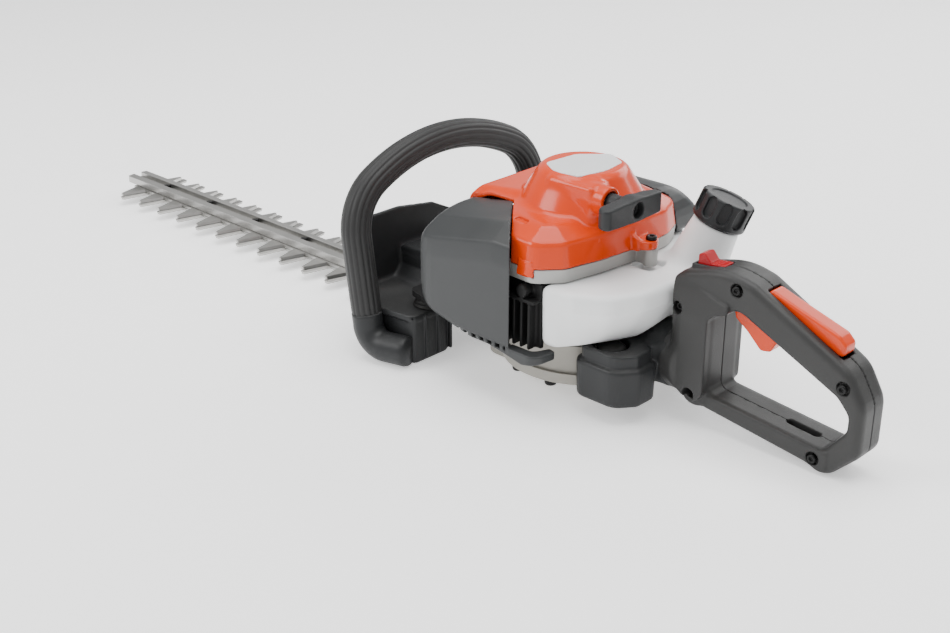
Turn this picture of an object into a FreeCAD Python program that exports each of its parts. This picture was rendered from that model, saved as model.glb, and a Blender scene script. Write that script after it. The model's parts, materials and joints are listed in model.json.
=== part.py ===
import FreeCAD, Part
import math
import os
from FreeCAD import Placement, Rotation, Vector

# Petrol hedge trimmer with double-sided reciprocating blades, in millimetres.
# The blades point to -X, the rear handle to +X, +Y is the operator's right, and the floor is z = 0.
# Everything is drawn with the crankshaft axis at x = 0, y = 0, and PLACE moves it at export, so that
# the origin is under the middle of the whole machine.

# ---- driving dimensions ----
LENGTH = 942.0                 # blade tip to rear handle
HANDLE_END = 274.0             # rear end of the rear handle, from the crankshaft
PLACE = Vector(LENGTH / 2 - HANDLE_END, 0, 0)
WALL = 2.6                     # moulded plastic walls
RUN = 0.4                      # gap above and below every moving blade

BLADE_TIP = HANDLE_END - LENGTH
PITCH = 35.0                   # from tooth to tooth
TEETH = 13                     # on each side of each blade
FIRST_TOOTH = BLADE_TIP + 29.0
BLADE_THICK = 2.6
LOWER_Z = 7.0                  # underside of the lower blade
UPPER_Z = LOWER_Z + BLADE_THICK + RUN
BAR_Z = UPPER_Z + BLADE_THICK + RUN
ROOT_Y = 15.0                  # half width of a blade between its teeth
STROKE = 16.0
BLADE_REST = 2.2               # the upper blade rests this far forward of mid stroke, the lower one behind
BOLT_STEP = 80.0
BOLTS = 6
FIRST_BOLT = FIRST_TOOTH + 28.0

CRANK_RADIUS = 13.5            # half of the piston's 27 mm stroke
BORE_RADIUS = 16.0
CYLINDER_Z = 92.0
PISTON_REST = -57.0            # gudgeon pin at mid stroke
EXHAUST_Z = 86.0
CHAMBER = 28.5                 # inside radius of the crankcase

MODULE = 1.25
PINION_TEETH = 11
GEAR_TEETH = 48
GEAR_X = -(MODULE * (PINION_TEETH + GEAR_TEETH) / 2 + 0.12)
GEAR_Z = 14.0
GEAR_THICK = 6.0
CAM_RADIUS = 13.0
CAM_SLACK = 2.1                # the straight-line coupling differs from the true cam by up to 1.7
CAM_REST = 90.0 * BLADE_REST / (STROKE / 2)   # degrees past mid stroke

CASE_RADIUS = 66.0
RIM_RADIUS = 69.0
RIM_Z = 22.0
CASE_TOP = 50.0
CRANKCASE_TOP = 112.0
BAND_FOOT = 112.0               # underside of the metal band
BAND_TOP = 124.0
SHROUD_FRONT = -95.0
SHROUD_EDGE = -43.0            # seam between the side cover and the starter cover
DOME_TOP = 183.0
PULLEY_Z = 169.0
PULLEY_RADIUS = 28.0
GRIP_FACE = 74.0               # rear face of the starter grip
ROPE_RADIUS = 1.8

HANDLE_HALF = 19.0             # half width of the rear handle
PILLAR_HALF = 25.0
LOOP_HALF = 111.0              # front handle: half width, spring line, rise and forward lean
LOOP_SPRING = 107.0
LOOP_RISE = 64.5
LEVER_HALF = 7.6               # half width of the lockout lever
LOOP_X = -145.5                # where the leaning plane meets the floor
LOOP_LEAN = 8.37
TUBE_RADIUS = 10.5
GRIP_RADIUS = 12.8
GUARD_X = -184.0

UP = Vector(0, 0, 1)
ALONG = Vector(1, 0, 0)
ACROSS = Vector(0, 1, 0)


# ---- helpers ----
def box(x0, x1, y0, y1, z0, z1):
    return Part.makeBox(x1 - x0, y1 - y0, z1 - z0, Vector(x0, y0, z0))


def rod(x, y, z, radius, length, direction=UP):
    return Part.makeCylinder(radius, length, Vector(x, y, z), direction)


def ring(x, y, z, inner, outer, length, direction=UP):
    return rod(x, y, z, outer, length, direction).cut(rod(x, y, z, inner, length, direction))


def cone(x, y, z, r0, r1, length, direction=UP):
    return Part.makeCone(r0, r1, length, Vector(x, y, z), direction)


def outline(points):
    """A closed wire in the XY plane. Each point is (x, y) or (x, y, corner radius)."""
    pts = [Vector(p[0], p[1], 0) for p in points]
    radii = [p[2] if len(p) > 2 else 0.0 for p in points]
    entries = []
    for i, here in enumerate(pts):
        before = (pts[i - 1] - here).normalize()
        after = (pts[(i + 1) % len(pts)] - here).normalize()
        half = before.getAngle(after) / 2
        if radii[i] < 1e-6 or abs(half - math.pi / 2) < 1e-3:
            entries.append((here, None, here))
            continue
        back = radii[i] / math.tan(half)
        centre = here + (before + after).normalize() * (radii[i] / math.sin(half))
        middle = centre + (here - centre).normalize() * radii[i]
        entries.append((here + before * back, middle, here + after * back))
    edges = []
    for i, (start, middle, end) in enumerate(entries):
        if middle is not None:
            edges.append(Part.Arc(start, middle, end).toShape())
        following = entries[(i + 1) % len(entries)][0]
        if (following - end).Length > 1e-6:
            edges.append(Part.makeLine(end, following))
    return Part.Wire(edges)


def slab(points, z0, z1):
    face = Part.Face(outline(points))
    face.translate(Vector(0, 0, z0))
    return face.extrude(Vector(0, 0, z1 - z0))


def side_slab(points, y0, y1):
    """An outline drawn in X and Z, extruded from y0 to y1."""
    shape = slab(points, -y1, -y0)
    shape.rotate(Vector(0, 0, 0), ALONG, 90)
    return shape


def end_slab(points, x0, x1):
    """An outline drawn in Y and Z, extruded from x0 to x1."""
    shape = slab(points, x0, x1)
    shape.Placement = Placement(Vector(0, 0, 0), Rotation(Vector(1, 1, 1), 120))
    return shape


def mirrored(points):
    return points + [(x, -y, *rest) for x, y, *rest in reversed(points)]


def both_sides(shape):
    return [shape, shape.mirror(Vector(0, 0, 0), ACROSS)]


def fuse(*shapes):
    flat = [s for group in shapes for s in (group if isinstance(group, list) else [group])]
    return flat[0].multiFuse(flat[1:]).removeSplitter() if len(flat) > 1 else flat[0]


def cut(shape, *tools):
    flat = [s for group in tools for s in (group if isinstance(group, list) else [group])]
    return shape.cut(flat)


def turned(shape, angle, axis, centre):
    copy = shape.copy()
    copy.rotate(centre, axis, angle)
    return copy


def moved(shape, x=0.0, y=0.0, z=0.0):
    copy = shape.copy()
    copy.translate(Vector(x, y, z))
    return copy


def tube_path(points, radii):
    """Straight runs joined by tangent arcs, in space."""
    pts = [Vector(*p) for p in points]
    edges, start = [], pts[0]
    for i in range(1, len(pts) - 1):
        before = (pts[i - 1] - pts[i]).normalize()
        after = (pts[i + 1] - pts[i]).normalize()
        half = before.getAngle(after) / 2
        back = radii[i - 1] / math.tan(half)
        centre = pts[i] + (before + after).normalize() * (radii[i - 1] / math.sin(half))
        middle = centre + (pts[i] - centre).normalize() * radii[i - 1]
        first, last = pts[i] + before * back, pts[i] + after * back
        if (first - start).Length > 1e-6:
            edges.append(Part.makeLine(start, first))
        edges.append(Part.Arc(first, middle, last).toShape())
        start = last
    edges.append(Part.makeLine(start, pts[-1]))
    return Part.Wire(edges)


def tube(path, radius):
    first = path.OrderedEdges[0]
    start = first.valueAt(first.FirstParameter)
    direction = first.tangentAt(first.FirstParameter)
    profile = Part.Wire(Part.makeCircle(radius, start, direction))
    return path.makePipeShell([profile], True, True)


def gear(teeth, z0, thick):
    """Involute spur gear at the origin, with shortened teeth and backlash."""
    pressure = math.radians(25)
    pitch_r = MODULE * teeth / 2
    base_r = pitch_r * math.cos(pressure)
    tip_r = pitch_r + 0.8 * MODULE
    root_r = pitch_r - 1.1 * MODULE
    half_at_pitch = (math.pi / 2 * MODULE - 0.28) / 2 / pitch_r
    involute = math.tan(pressure) - pressure
    flank = []
    for step in range(5):
        r = max(base_r, root_r) + (tip_r - max(base_r, root_r)) * step / 4
        angle = math.acos(min(1.0, base_r / r))
        flank.append((r, half_at_pitch + involute - (math.tan(angle) - angle)))
    if root_r < flank[0][0] - 0.01:
        flank.insert(0, (root_r, flank[0][1]))
    points = []
    for tooth in range(teeth):
        centre = 2 * math.pi * tooth / teeth
        for r, half in flank:
            points.append((r * math.cos(centre - half), r * math.sin(centre - half)))
        for r, half in reversed(flank):
            points.append((r * math.cos(centre + half), r * math.sin(centre + half)))
    return slab(points, z0, z0 + thick)


# ---- cutting blades and their guide bar ----
def tooth(x, side, tip_y, tip_half, root_half, z0, bevel_up):
    """One tapered tooth, with its cutting edges bevelled away from the other blade."""
    bevel = 1.3

    def section(inset, z):
        wire = outline([
            (x - root_half + inset, side * ROOT_Y),
            (x - tip_half + inset, side * tip_y, 1.6),
            (x + tip_half - inset, side * tip_y, 1.6),
            (x + root_half - inset, side * ROOT_Y),
        ])
        wire.translate(Vector(0, 0, z))
        return wire

    low, high = (0.0, bevel) if bevel_up else (bevel, 0.0)
    return Part.makeLoft([section(low, z0), section(high, z0 + BLADE_THICK)], True, True)


def blade_teeth(shift, z0, tip_y, tip_half, bevel_up):
    """The teeth of one blade, each a solid of its own that meets the edge of the blade's back."""
    return Part.makeCompound([
        tooth(FIRST_TOOTH + PITCH * n + shift, side, tip_y, tip_half, 9.5, z0, bevel_up)
        for n in range(TEETH) for side in (-1, 1)])


def blade_back(shift, z0):
    """A strip with guide slots and the yoke that its cam turns in."""
    front = BLADE_TIP + 16 + shift
    yoke_x = GEAR_X + shift
    z1 = z0 + BLADE_THICK
    strip = box(front, GEAR_X, -ROOT_Y, ROOT_Y, z0, z1)
    yoke = moved(slab(mirrored([(-21, -29, 8), (21, -29, 8)]), z0, z1), yoke_x)
    half_slot = CAM_RADIUS + CAM_SLACK
    end_y = half_slot + STROKE / 2
    window = slab(mirrored([(-half_slot, -end_y, 12), (half_slot, -end_y, 12)]), z0 - 1, z1 + 1)
    half_run = STROKE / 2 + 4.6
    slots = []
    for n in range(BOLTS):
        slot = slab(mirrored([(-half_run, -3.6, 3.5), (half_run, -3.6, 3.5)]), z0 - 1, z1 + 1)
        slots.append(moved(slot, FIRST_BOLT + BOLT_STEP * n + shift))
    return cut(fuse(strip, yoke), moved(window, yoke_x), *slots)


def guide_bar():
    """A channel whose two ridges stand each side of the bolt groove."""
    section = [(-12.5, BAR_Z), (12.5, BAR_Z), (12.5, BAR_Z + 7.6, 0.8), (4.6, BAR_Z + 8.2, 0.8),
               (4.2, BAR_Z + 3.2), (-4.2, BAR_Z + 3.2), (-4.6, BAR_Z + 8.2, 0.8), (-12.5, BAR_Z + 7.6, 0.8)]
    bar = end_slab(section, BLADE_TIP, GEAR_X - 46)
    holes = [rod(FIRST_BOLT + BOLT_STEP * n, 0, BAR_Z - 1, 2.65, 10) for n in range(BOLTS)]
    return cut(bar, *holes)


def blade_bolts():
    """Shouldered bolts up through the blades, with a washer below and a lock nut in the groove."""
    solids = []
    for n in range(BOLTS):
        x = FIRST_BOLT + BOLT_STEP * n
        shoulder = rod(x, 0, LOWER_Z - 1.4, 3.2, BAR_Z - LOWER_Z + 1.3)
        washer = rod(x, 0, LOWER_Z - 1.6, 7.0, 1.3)
        head = rod(x, 0, LOWER_Z - 4.4, 4.6, 2.8)
        stem = rod(x, 0, LOWER_Z, 2.5, 13.0)
        nut = moved(slab([(3.9 * math.cos(math.radians(a)), 3.9 * math.sin(math.radians(a)))
                          for a in range(0, 360, 60)], BAR_Z + 3.3, BAR_Z + 6.6), x)
        solids.append(fuse(shoulder, washer, head, stem, nut))
    return Part.makeCompound(solids)


# ---- gear case and clutch ----
def gear_case_lower():
    body = slab(mirrored([(-84, -37, 18), (16, -37, 18)]), 3.0, RIM_Z)
    rim = rod(0, 0, RIM_Z - 5, RIM_RADIUS, 5)
    nose = box(-168, -70, -15, 15, BAR_Z + 8.4, BAR_Z + 15)
    shape = fuse(body, rim, nose)
    gear_pocket = rod(GEAR_X, 0, GEAR_Z - 1, 33, RIM_Z)
    pinion_pocket = rod(0, 0, GEAR_Z - 1, 12, RIM_Z)
    tunnel = box(-70, -4, -30.5, 30.5, 5.2, GEAR_Z - 0.9)
    mouth = box(-90, -66, -17, 17, 5.2, GEAR_Z - 0.9)
    seat = box(-90, GEAR_X - 45.8, -12.8, 12.8, BAR_Z - 0.2, BAR_Z + 8.4)
    above_rim = box(-200, 200, -80, 80, RIM_Z, 60)
    return cut(shape, cut(fuse(gear_pocket, pinion_pocket), above_rim), tunnel, mouth, seat)


def gear_case_upper():
    """Clutch housing with an ear on each side that stands in the chassis foot."""
    rim = rod(0, 0, RIM_Z, RIM_RADIUS, 4)
    wall = rod(0, 0, RIM_Z + 4, CASE_RADIUS, CASE_TOP - RIM_Z - 4)
    x, y = DAMPER_SEAT
    reach, angle = math.hypot(x, y), math.degrees(math.atan2(y, x))
    arm = turned(box(60, reach, -8, 8, 44, CASE_TOP), angle, UP, Vector(0, 0, 0))
    ear = fuse(arm, rod(x, y, 44, 8, CASE_TOP - 44))
    shape = fuse(rim, wall, *both_sides(ear))
    hollow = rod(0, 0, RIM_Z + 8, CASE_RADIUS - 4, CASE_TOP)
    bearing_seat = rod(0, 0, RIM_Z - 1, 11, 12)
    gear_journal = rod(GEAR_X, 0, RIM_Z - 1, 5.05, 5)
    return cut(shape, hollow, bearing_seat, gear_journal)


def gear_case_screws():
    """Socket screws up into the gear case's rim."""
    solids = []
    for angle in (28, 75, 110, 250, 285, 332):
        x, y = 62 * math.cos(math.radians(angle)), 62 * math.sin(math.radians(angle))
        head = cut(rod(x, y, RIM_Z - 10.2, 5.2, 5.2), rod(x, y, RIM_Z - 10.4, 2.4, 3.2))
        solids.append(head)
    return solids


def clutch_drum():
    """Cup, shaft and pinion in one piece."""
    shaft = rod(0, 0, GEAR_Z, 5.0, 19)
    collar = rod(0, 0, GEAR_Z + GEAR_THICK + 0.6, 6.9, 11)
    disc = rod(0, 0, 31, 29, 2)
    wall = ring(0, 0, 32, 27, 29, 14)
    pinion = gear(PINION_TEETH, GEAR_Z, GEAR_THICK)
    return fuse(shaft, collar, disc, wall, pinion)


def drive_gear():
    """Gear, its journal, and the two cams half a turn apart."""
    wheel = gear(GEAR_TEETH, GEAR_Z, GEAR_THICK)
    journal = rod(0, 0, GEAR_Z, 5.0, RIM_Z + 3.5 - GEAR_Z)
    angle = math.radians(CAM_REST)
    throw = STROKE / 2
    cam_x, cam_y = throw * math.sin(angle), throw * math.cos(angle)
    split = UPPER_Z - RUN / 2
    upper = rod(-cam_x, -cam_y, split, CAM_RADIUS, GEAR_Z - split)
    lower = rod(cam_x, cam_y, LOWER_Z, CAM_RADIUS, split - LOWER_Z)
    return moved(fuse(wheel, journal, upper, lower), GEAR_X)


def clutch_shoes():
    """Hub and two shoes, held in by a garter spring."""
    hub = ring(0, 0, 35, 6.0, 10.0, 8)
    shoes = ring(0, 0, 35, 12.0, 25.5, 8)
    gap = box(-30, 30, -2.2, 2.2, 30, 50)
    arms = box(-3.5, 3.5, -14, 14, 35, 43)
    return cut(fuse(cut(shoes, gap), hub, cut(arms, rod(0, 0, 30, 6.0, 20))), rod(0, 0, 30, 6.0, 20))


# ---- engine ----
def crankcase_half(z0, z1):
    shape = slab(mirrored([(-34, -36, 8), (34, -36, 8)]), z0, z1)
    chamber = rod(0, 0, 77, CHAMBER, 28.2)
    lower_bore = rod(0, 0, z0 - 1, 11, 200)
    skirt = rod(-40, 0, CYLINDER_Z, BORE_RADIUS + 2.3, 40, ALONG)
    bearings = [rod(0, 0, 62, 16, 10), rod(0, 0, 105, 16, 7)]
    return cut(shape, chamber, lower_bore, skirt, *bearings)


def crankcase_lower():
    """Lower half, with the plate over the clutch and two arms out to the front dampers."""
    plate = slab(mirrored([(-62, -52, 12), (50, -44, 10)]), CASE_TOP, CASE_TOP + 6)
    arm_plan = [(-40, -50), (-106, -84, 10), (-132, -78, 9), (-132, -58, 9), (-104, -52, 10), (-40, -22)]
    arm = slab(arm_plan, 53.5, 58.5)
    shape = fuse(crankcase_half(CASE_TOP, CYLINDER_Z), plate, *both_sides(arm))
    return cut(shape, rod(0, 0, 77, CHAMBER, 30), rod(0, 0, CASE_TOP - 1, 30, 7), rod(0, 0, 40, 11, 40))


def crankcase_upper():
    return crankcase_half(CYLINDER_Z, CRANKCASE_TOP)


def main_bearings():
    return Part.makeCompound([ring(0, 0, 62, 7.52, 16, 10), ring(0, 0, 105, 7.52, 16, 7)])


def drum_bearing():
    return ring(0, 0, RIM_Z, 6.93, 11, 7)


def cylinder():
    sleeve = rod(-88, 0, CYLINDER_Z, BORE_RADIUS + 3.5, 53.8, ALONG)
    skirt = rod(-35, 0, CYLINDER_Z, BORE_RADIUS + 2.2, 9, ALONG)
    fins = [box(x, x + 2.0, -33, 33, CYLINDER_Z - 28, CYLINDER_Z + 18.5) for x in range(-87, -38, 6)]
    flange = box(-37.5, -34.1, -30, 30, CYLINDER_Z - 26, CYLINDER_Z + 18.5)
    port = box(-70, -46, -38, 38, CYLINDER_Z - 10, CYLINDER_Z + 10)
    shape = fuse(sleeve, skirt, flange, port, *fins)
    bore = rod(-85, 0, CYLINDER_Z, BORE_RADIUS + 0.05, 70, ALONG)
    exhaust = box(-66, -50, -40, -10, CYLINDER_Z - 6, CYLINDER_Z + 6)
    inlet = rod(-58, 10, CYLINDER_Z, 6, 30, ACROSS)
    plug_hole = rod(-95, 0, CYLINDER_Z, 5.0, 12, ALONG)
    return cut(shape, bore, exhaust, inlet, plug_hole)


def piston():
    body = rod(PISTON_REST - 12, 0, CYLINDER_Z, BORE_RADIUS, 24, ALONG)
    hollow = rod(PISTON_REST - 8, 0, CYLINDER_Z, BORE_RADIUS - 2.2, 24, ALONG)
    grooves = [ring(PISTON_REST - 10 + 3.2 * n, 0, CYLINDER_Z, BORE_RADIUS - 0.8, BORE_RADIUS + 1, 1.4, ALONG)
               for n in range(2)]
    bosses = rod(PISTON_REST, 0, CYLINDER_Z - 14.5, 6.5, 29)
    clear = rod(PISTON_REST, 0, CYLINDER_Z - 5, 9, 10)
    shape = fuse(cut(body, hollow), cut(bosses, clear))
    return cut(shape, rod(PISTON_REST, 0, CYLINDER_Z - 20, 4.0, 40), *grooves)


def connecting_rod():
    """Rod with its gudgeon pin and crankpin. The crankpin stops short of both webs."""
    pin_z = CYLINDER_Z - 4.5
    small_end = rod(PISTON_REST, 0, pin_z, 6.5, 9)
    angle = math.degrees(math.atan2(CRANK_RADIUS, -PISTON_REST))
    beam = box(PISTON_REST + 4, -4, -4, 4, CYLINDER_Z - 2.4, CYLINDER_Z + 2.4)
    beam = turned(beam, angle, UP, Vector(PISTON_REST, 0, 0))
    big_end = rod(0, CRANK_RADIUS, CYLINDER_Z - 3, 7.5, 6)
    crankpin = rod(0, CRANK_RADIUS, pin_z, 4.9, 9)
    return cut(fuse(small_end, beam, big_end, crankpin), rod(PISTON_REST, 0, pin_z - 1, 4.0, 12))


def gudgeon_pin():
    return rod(PISTON_REST, 0, CYLINDER_Z - 13, 3.98, 26)


def crankshaft():
    lower = fuse(rod(0, 0, 34, 6.0, 16), rod(0, 0, 50, 7.5, 30))
    upper = fuse(rod(0, 0, 104, 7.5, 12), rod(0, 0, 116, 6.0, 40))
    weight = box(-30, -3, -30, 30, 70, 120)
    webs = []
    for z0 in (80.0, CYLINDER_Z + 5):
        web = cut(rod(0, 0, z0, 24, 7), rod(0, CRANK_RADIUS, z0 - 1, 5.0, 9))
        relief = cut(rod(0, 0, z0 - 1, 30, 9), rod(0, 0, z0 - 2, 17, 11), weight)
        webs.append(cut(web, relief))
    first = fuse(lower, webs[0])
    second = fuse(webs[1], upper)
    return Part.makeCompound([first, second])


def flywheel():
    """Disc with a ring of fan blades, a rim and a hub for the crankshaft's taper."""
    disc = rod(0, 0, 117, 45, 5)
    hub = rod(0, 0, 117, 15, 26)
    rim = ring(0, 0, 117, 40, 45, 12)
    blades = []
    for n in range(18):
        fan = box(22, 46, -1.0, 1.0, 121, 142)
        blades.append(turned(turned(fan, 18, UP, Vector(36, 0, 0)), 20 * n, UP, Vector(0, 0, 0)))
    return cut(fuse(disc, hub, rim, *blades), rod(0, 0, 110, 6.0, 40))


def flywheel_nut():
    shape = moved(slab([(8.6 * math.cos(math.radians(a)), 8.6 * math.sin(math.radians(a)))
                        for a in range(0, 360, 60)], 143.2, 149), 0)
    return cut(shape, rod(0, 0, 140, 6.0, 20))


def starter_pulley():
    wheel = rod(0, 0, PULLEY_Z - 5, 31, 10)
    groove = ring(0, 0, PULLEY_Z - 2.6, PULLEY_RADIUS - 2.5, 34, 5.2)
    hub = ring(0, 0, 157, 8.0, 15, 8)
    return cut(fuse(wheel, hub), groove, rod(0, 0, 150, 5.1, 40))


def recoil_spring():
    """Flat spiral in its tray above the pulley."""
    shape = None
    for n in range(5):
        inner = 8.0 + 3.6 * n
        coil = ring(0, 0, PULLEY_Z + 5.6, inner, inner + 0.9, 4)
        shape = coil if shape is None else fuse(shape, coil, box(inner - 3.2, inner + 0.4, -0.8, 0.8,
                                                                 PULLEY_Z + 5.6, PULLEY_Z + 9.6))
    return shape


def ignition_coil():
    core = box(-64, -52, -14, 14, 115, 125)
    legs = [box(-53, -46.6, y - 3, y + 3, 115, 125) for y in (-11, 11)]
    winding = box(-66, -56, -7, 7, 115, 128)
    return fuse(core, winding, *legs)


def spark_plug():
    thread = rod(-95.5, 0, CYLINDER_Z, 4.98, 10, ALONG)
    hexagon = rod(-101, 0, CYLINDER_Z, 8.5, 6.5, ALONG)
    insulator = cone(-116, 0, CYLINDER_Z, 3.5, 5.0, 15, ALONG)
    return fuse(thread, hexagon, insulator)


def spark_plug_cap():
    body = rod(-121, 0, CYLINDER_Z, 8.8, 19.5, ALONG)
    lead = rod(-116, 0, CYLINDER_Z, 4.0, 26, UP)
    socket = cone(-116.3, 0, CYLINDER_Z, 3.6, 5.1, 15.4, ALONG)
    return cut(fuse(body, lead), socket)


def muffler():
    can = slab([(-74, -92, 20), (-16, -92, 12), (-16, -48, 8), (-74, -48, 8)], 66, 110)
    hollow = slab([(-71, -89, 17), (-19, -89, 10), (-19, -51, 6), (-71, -51, 6)], 69, 107)
    flange = box(-72, -44, -48.5, -38.1, CYLINDER_Z - 11, CYLINDER_Z + 11)
    outlet = rod(-90, -72, EXHAUST_Z, 6, 18, ALONG)
    port = box(-66, -50, -52, -30, CYLINDER_Z - 6, CYLINDER_Z + 6)
    return cut(fuse(cut(can, hollow), flange, outlet), rod(-95, -72, EXHAUST_Z, 4.5, 30, ALONG), port)


def intake_boot():
    flange = box(-72, -44, 38.1, 46, CYLINDER_Z - 11, CYLINDER_Z + 11)
    return cut(flange, rod(-58, 30, CYLINDER_Z, 6, 30, ACROSS))


def carburettor():
    body = box(-73, -43, 46.1, 68, CYLINDER_Z - 14, CYLINDER_Z + 14)
    pump = box(-70, -46, 48, 66, CYLINDER_Z - 22, CYLINDER_Z - 14)
    return cut(fuse(body, pump), rod(-58, 30, CYLINDER_Z, 6, 60, ACROSS), rod(-43.5, 60, 100, 2.05, 12, UP))


def throttle_lever():
    """Carburettor lever that the throttle cable pulls."""
    spindle = rod(-43.5, 60, 100.5, 2.0, 10.5)
    arm = slab([(-47, 56, 3), (-22, 56, 3), (-22, 63, 3), (-47, 63, 3)], 108, 110.5)
    return fuse(spindle, arm)


def choke_lever():
    spindle = rod(-30, 92, 82, 3.0, 12, ACROSS)
    arm = side_slab([(-34, 78, 3), (-26, 78, 3), (-24, 96, 4), (-36, 96, 4)], 104.2, 108.5)
    link = rod(-30, 92, 82, 3.0, 15, ACROSS)
    return fuse(spindle, arm, link)


def primer_bulb():
    """A squeezable dome with its flange."""
    dome = Part.makeSphere(9.0, Vector(10, 74, 66))
    dome = cut(dome, box(-10, 30, 50, 74, 50, 90))
    stem = rod(10, 70.5, 66, 7.0, 4.5, ACROSS)
    return fuse(dome, stem)


def primer_base():
    block = box(-6, 26, 56, 70, 54, 78)
    return cut(block, rod(10, 62, 66, 7.3, 20, ACROSS))


def air_filter():
    panel = slab([(-78, 69, 6), (-22, 69, 6), (-22, 84, 6), (-78, 84, 6)], 74, 110)
    return cut(panel, rod(-58, 60, CYLINDER_Z, 6, 20, ACROSS))


# ---- outer covers ----
def shroud_solid(inset):
    """The bulging side cover: a tall rounded box whose top falls towards the front."""
    floor = 55 if inset == 0 else 40
    front, outside, top = SHROUD_FRONT + inset, -105 + inset, 165 - inset
    side = [(front, floor, 26), (front, 118, 26), (front + 24, top - 12, 14), (-24, top - 1, 30),
            (9, top), (9, 128), (36 - inset, 128, 8), (36 - inset, floor)]
    profile = side_slab(side, outside, SHROUD_EDGE)
    plan = slab([(front, outside, 34 - inset), (36 - inset, outside, 16 - inset), (36 - inset, -41),
                 (front, -41)], 30, 180)
    section = end_slab([(outside, 30), (outside, 132, 20), (-84, top, 14), (-41, top), (-41, 30)],
                       -100, 60)
    return profile.common(plan).common(section)


def engine_shroud():
    """Hollow, open underneath, towards the engine and behind the tank."""
    outer = shroud_solid(0.0)
    inner = shroud_solid(WALL)
    open_side = box(-84, 40, -46, -40, 40, 158)
    open_back = box(26, 40, -99.5, -40, 40, 112)
    cover_room = box(9, 60, -120, -40, BAND_FOOT - 0.4, 200)
    rail = slab([(-30, -103, 4), (34, -103, 8), (34, -80, 3), (24, -76, 3), (-30, -96, 3)], 47, 56)
    exhaust = rod(SHROUD_FRONT - 7, -72, EXHAUST_Z, 9, 30, ALONG)
    return fuse(cut(outer, inner, open_side, open_back, cover_room, exhaust), rail)


def filter_cover_solid(inset):
    """The right side cover's outside, or its inside when inset by a wall, with the notch for the tank."""
    front, rear, top = -84 + inset, 36 - inset, 150 - inset
    side = [(front, 62 + inset, 12), (front, top, 26), (rear, top, 22), (rear, 113 + inset, 4),
            (rear - 11, 113 + inset, 4), (rear - 11, 84 + inset, 6), (-4, 84 + inset, 6),
            (-14, 62 + inset, 8)]
    end = [(50, 30), (104 - inset, 30), (104 - inset, 130, 18), (86, top, 12), (50, top)]
    return side_slab(side, 50, 104 - inset).common(end_slab(end, -100, 60))


def air_filter_cover():
    """Right side cover over the filter and carburettor, cut away beside the starter cover."""
    inner_side = box(-90, 60, 49, 57, 50, 160)
    knob_hole = rod(-30, 80, 82, 3.3, 40, ACROSS)
    starter_room = slab(scaled(BAND, -0.6), BAND_FOOT - 0.6, 200)
    return cut(filter_cover_solid(0.0), filter_cover_solid(WALL), inner_side, knob_hole, starter_room)


BAND = [(-80, -78, 14), (-10, -92, 30), (27, -97, 14), (42, -78, 20), (52, -40, 60), (56, 4, 60),
        (55, 44, 30), (44, 72, 20), (8, 80, 20), (-80, 74, 14)]


def scaled(points, inset):
    """The outline pulled in towards the crankshaft by about the inset."""
    out = []
    for x, y, r in points:
        size = math.hypot(x, y)
        out.append((x * (1 - inset / size), y * (1 - inset / size), max(2.0, r - inset)))
    return out


def fan_housing():
    """Light grey metal band: the fan's floor, its rim and an ear for the cover's screw."""
    shape = slab(BAND, BAND_FOOT, BAND_TOP)
    hollow = slab(scaled(BAND, 7), BAND_FOOT + 3, BAND_TOP + 1)
    ear = fuse(rod(62, 6, BAND_FOOT, 5.5, BAND_TOP - BAND_FOOT), box(50, 62, 0.5, 11.5, BAND_FOOT, BAND_TOP))
    ear = cut(ear, slab(scaled(BAND, 3), BAND_FOOT - 1, BAND_TOP + 1))
    return cut(fuse(cut(shape, hollow), ear), rod(0, 0, 100, 17, 30), rod(62, 6, 110, 2.05, 30))


def cover_solid(inset):
    """Faceted starter cover: deck, sloped shoulders and the dome over the pulley."""
    levels = [(inset + 0.01, BAND_TOP), (inset + 3, 142), (inset + 20, 156 - inset)]
    deck = Part.makeLoft([moved_wire(scaled(BAND, inward), z) for inward, z in levels], True, True)
    dome = cone(0, 0, 140, 66 - inset, 36 - inset * 0.6, DOME_TOP - 140 - inset)
    return fuse(deck, dome)


def moved_wire(points, z):
    wire = outline(points)
    wire.translate(Vector(0, 0, z))
    return wire


def starter_cover():
    """Dome over the rope pulley, with the pulley's post, the rope's exit tube and the screw ear."""
    shell = cut(cover_solid(0.0), cover_solid(WALL))
    exit_tube = rod(8, -PULLEY_RADIUS, PULLEY_Z, 8.5, 36, ALONG)
    post = rod(0, 0, 158, 5.0, DOME_TOP - 160)
    spring_roof = rod(0, 0, PULLEY_Z + 10.0, 27, 2)
    ear = fuse(rod(62, 6, BAND_TOP, 5.5, 6), box(48, 62, 0.5, 11.5, BAND_TOP, BAND_TOP + 6))
    shape = fuse(shell, exit_tube, post, spring_roof, ear)
    shroud_room = box(-100, 9.4, -120, SHROUD_EDGE + 0.4, BAND_TOP - 1, 200)
    rope_hole = rod(-10, -PULLEY_RADIUS, PULLEY_Z, 2.6, 70, ALONG)
    pulley_room = cut(rod(0, 0, PULLEY_Z - 5.4, 31.6, 15.2), rod(0, 0, 150, 5.0, 40))
    pulley_room = cut(pulley_room, rod(0, 0, PULLEY_Z + 9.9, 40, 5))
    screw_hole = rod(62, 6, 110, 2.05, 30)
    return cut(shape, shroud_room, rope_hole, pulley_room, screw_hole)


def dome_plate():
    """Blank name plate on top of the dome."""
    return slab([(-30, -14, 8), (-8, -30, 14), (22, -22, 8), (30, 12, 8), (8, 30, 14), (-22, 22, 8)],
                DOME_TOP, DOME_TOP + 0.8)


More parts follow.
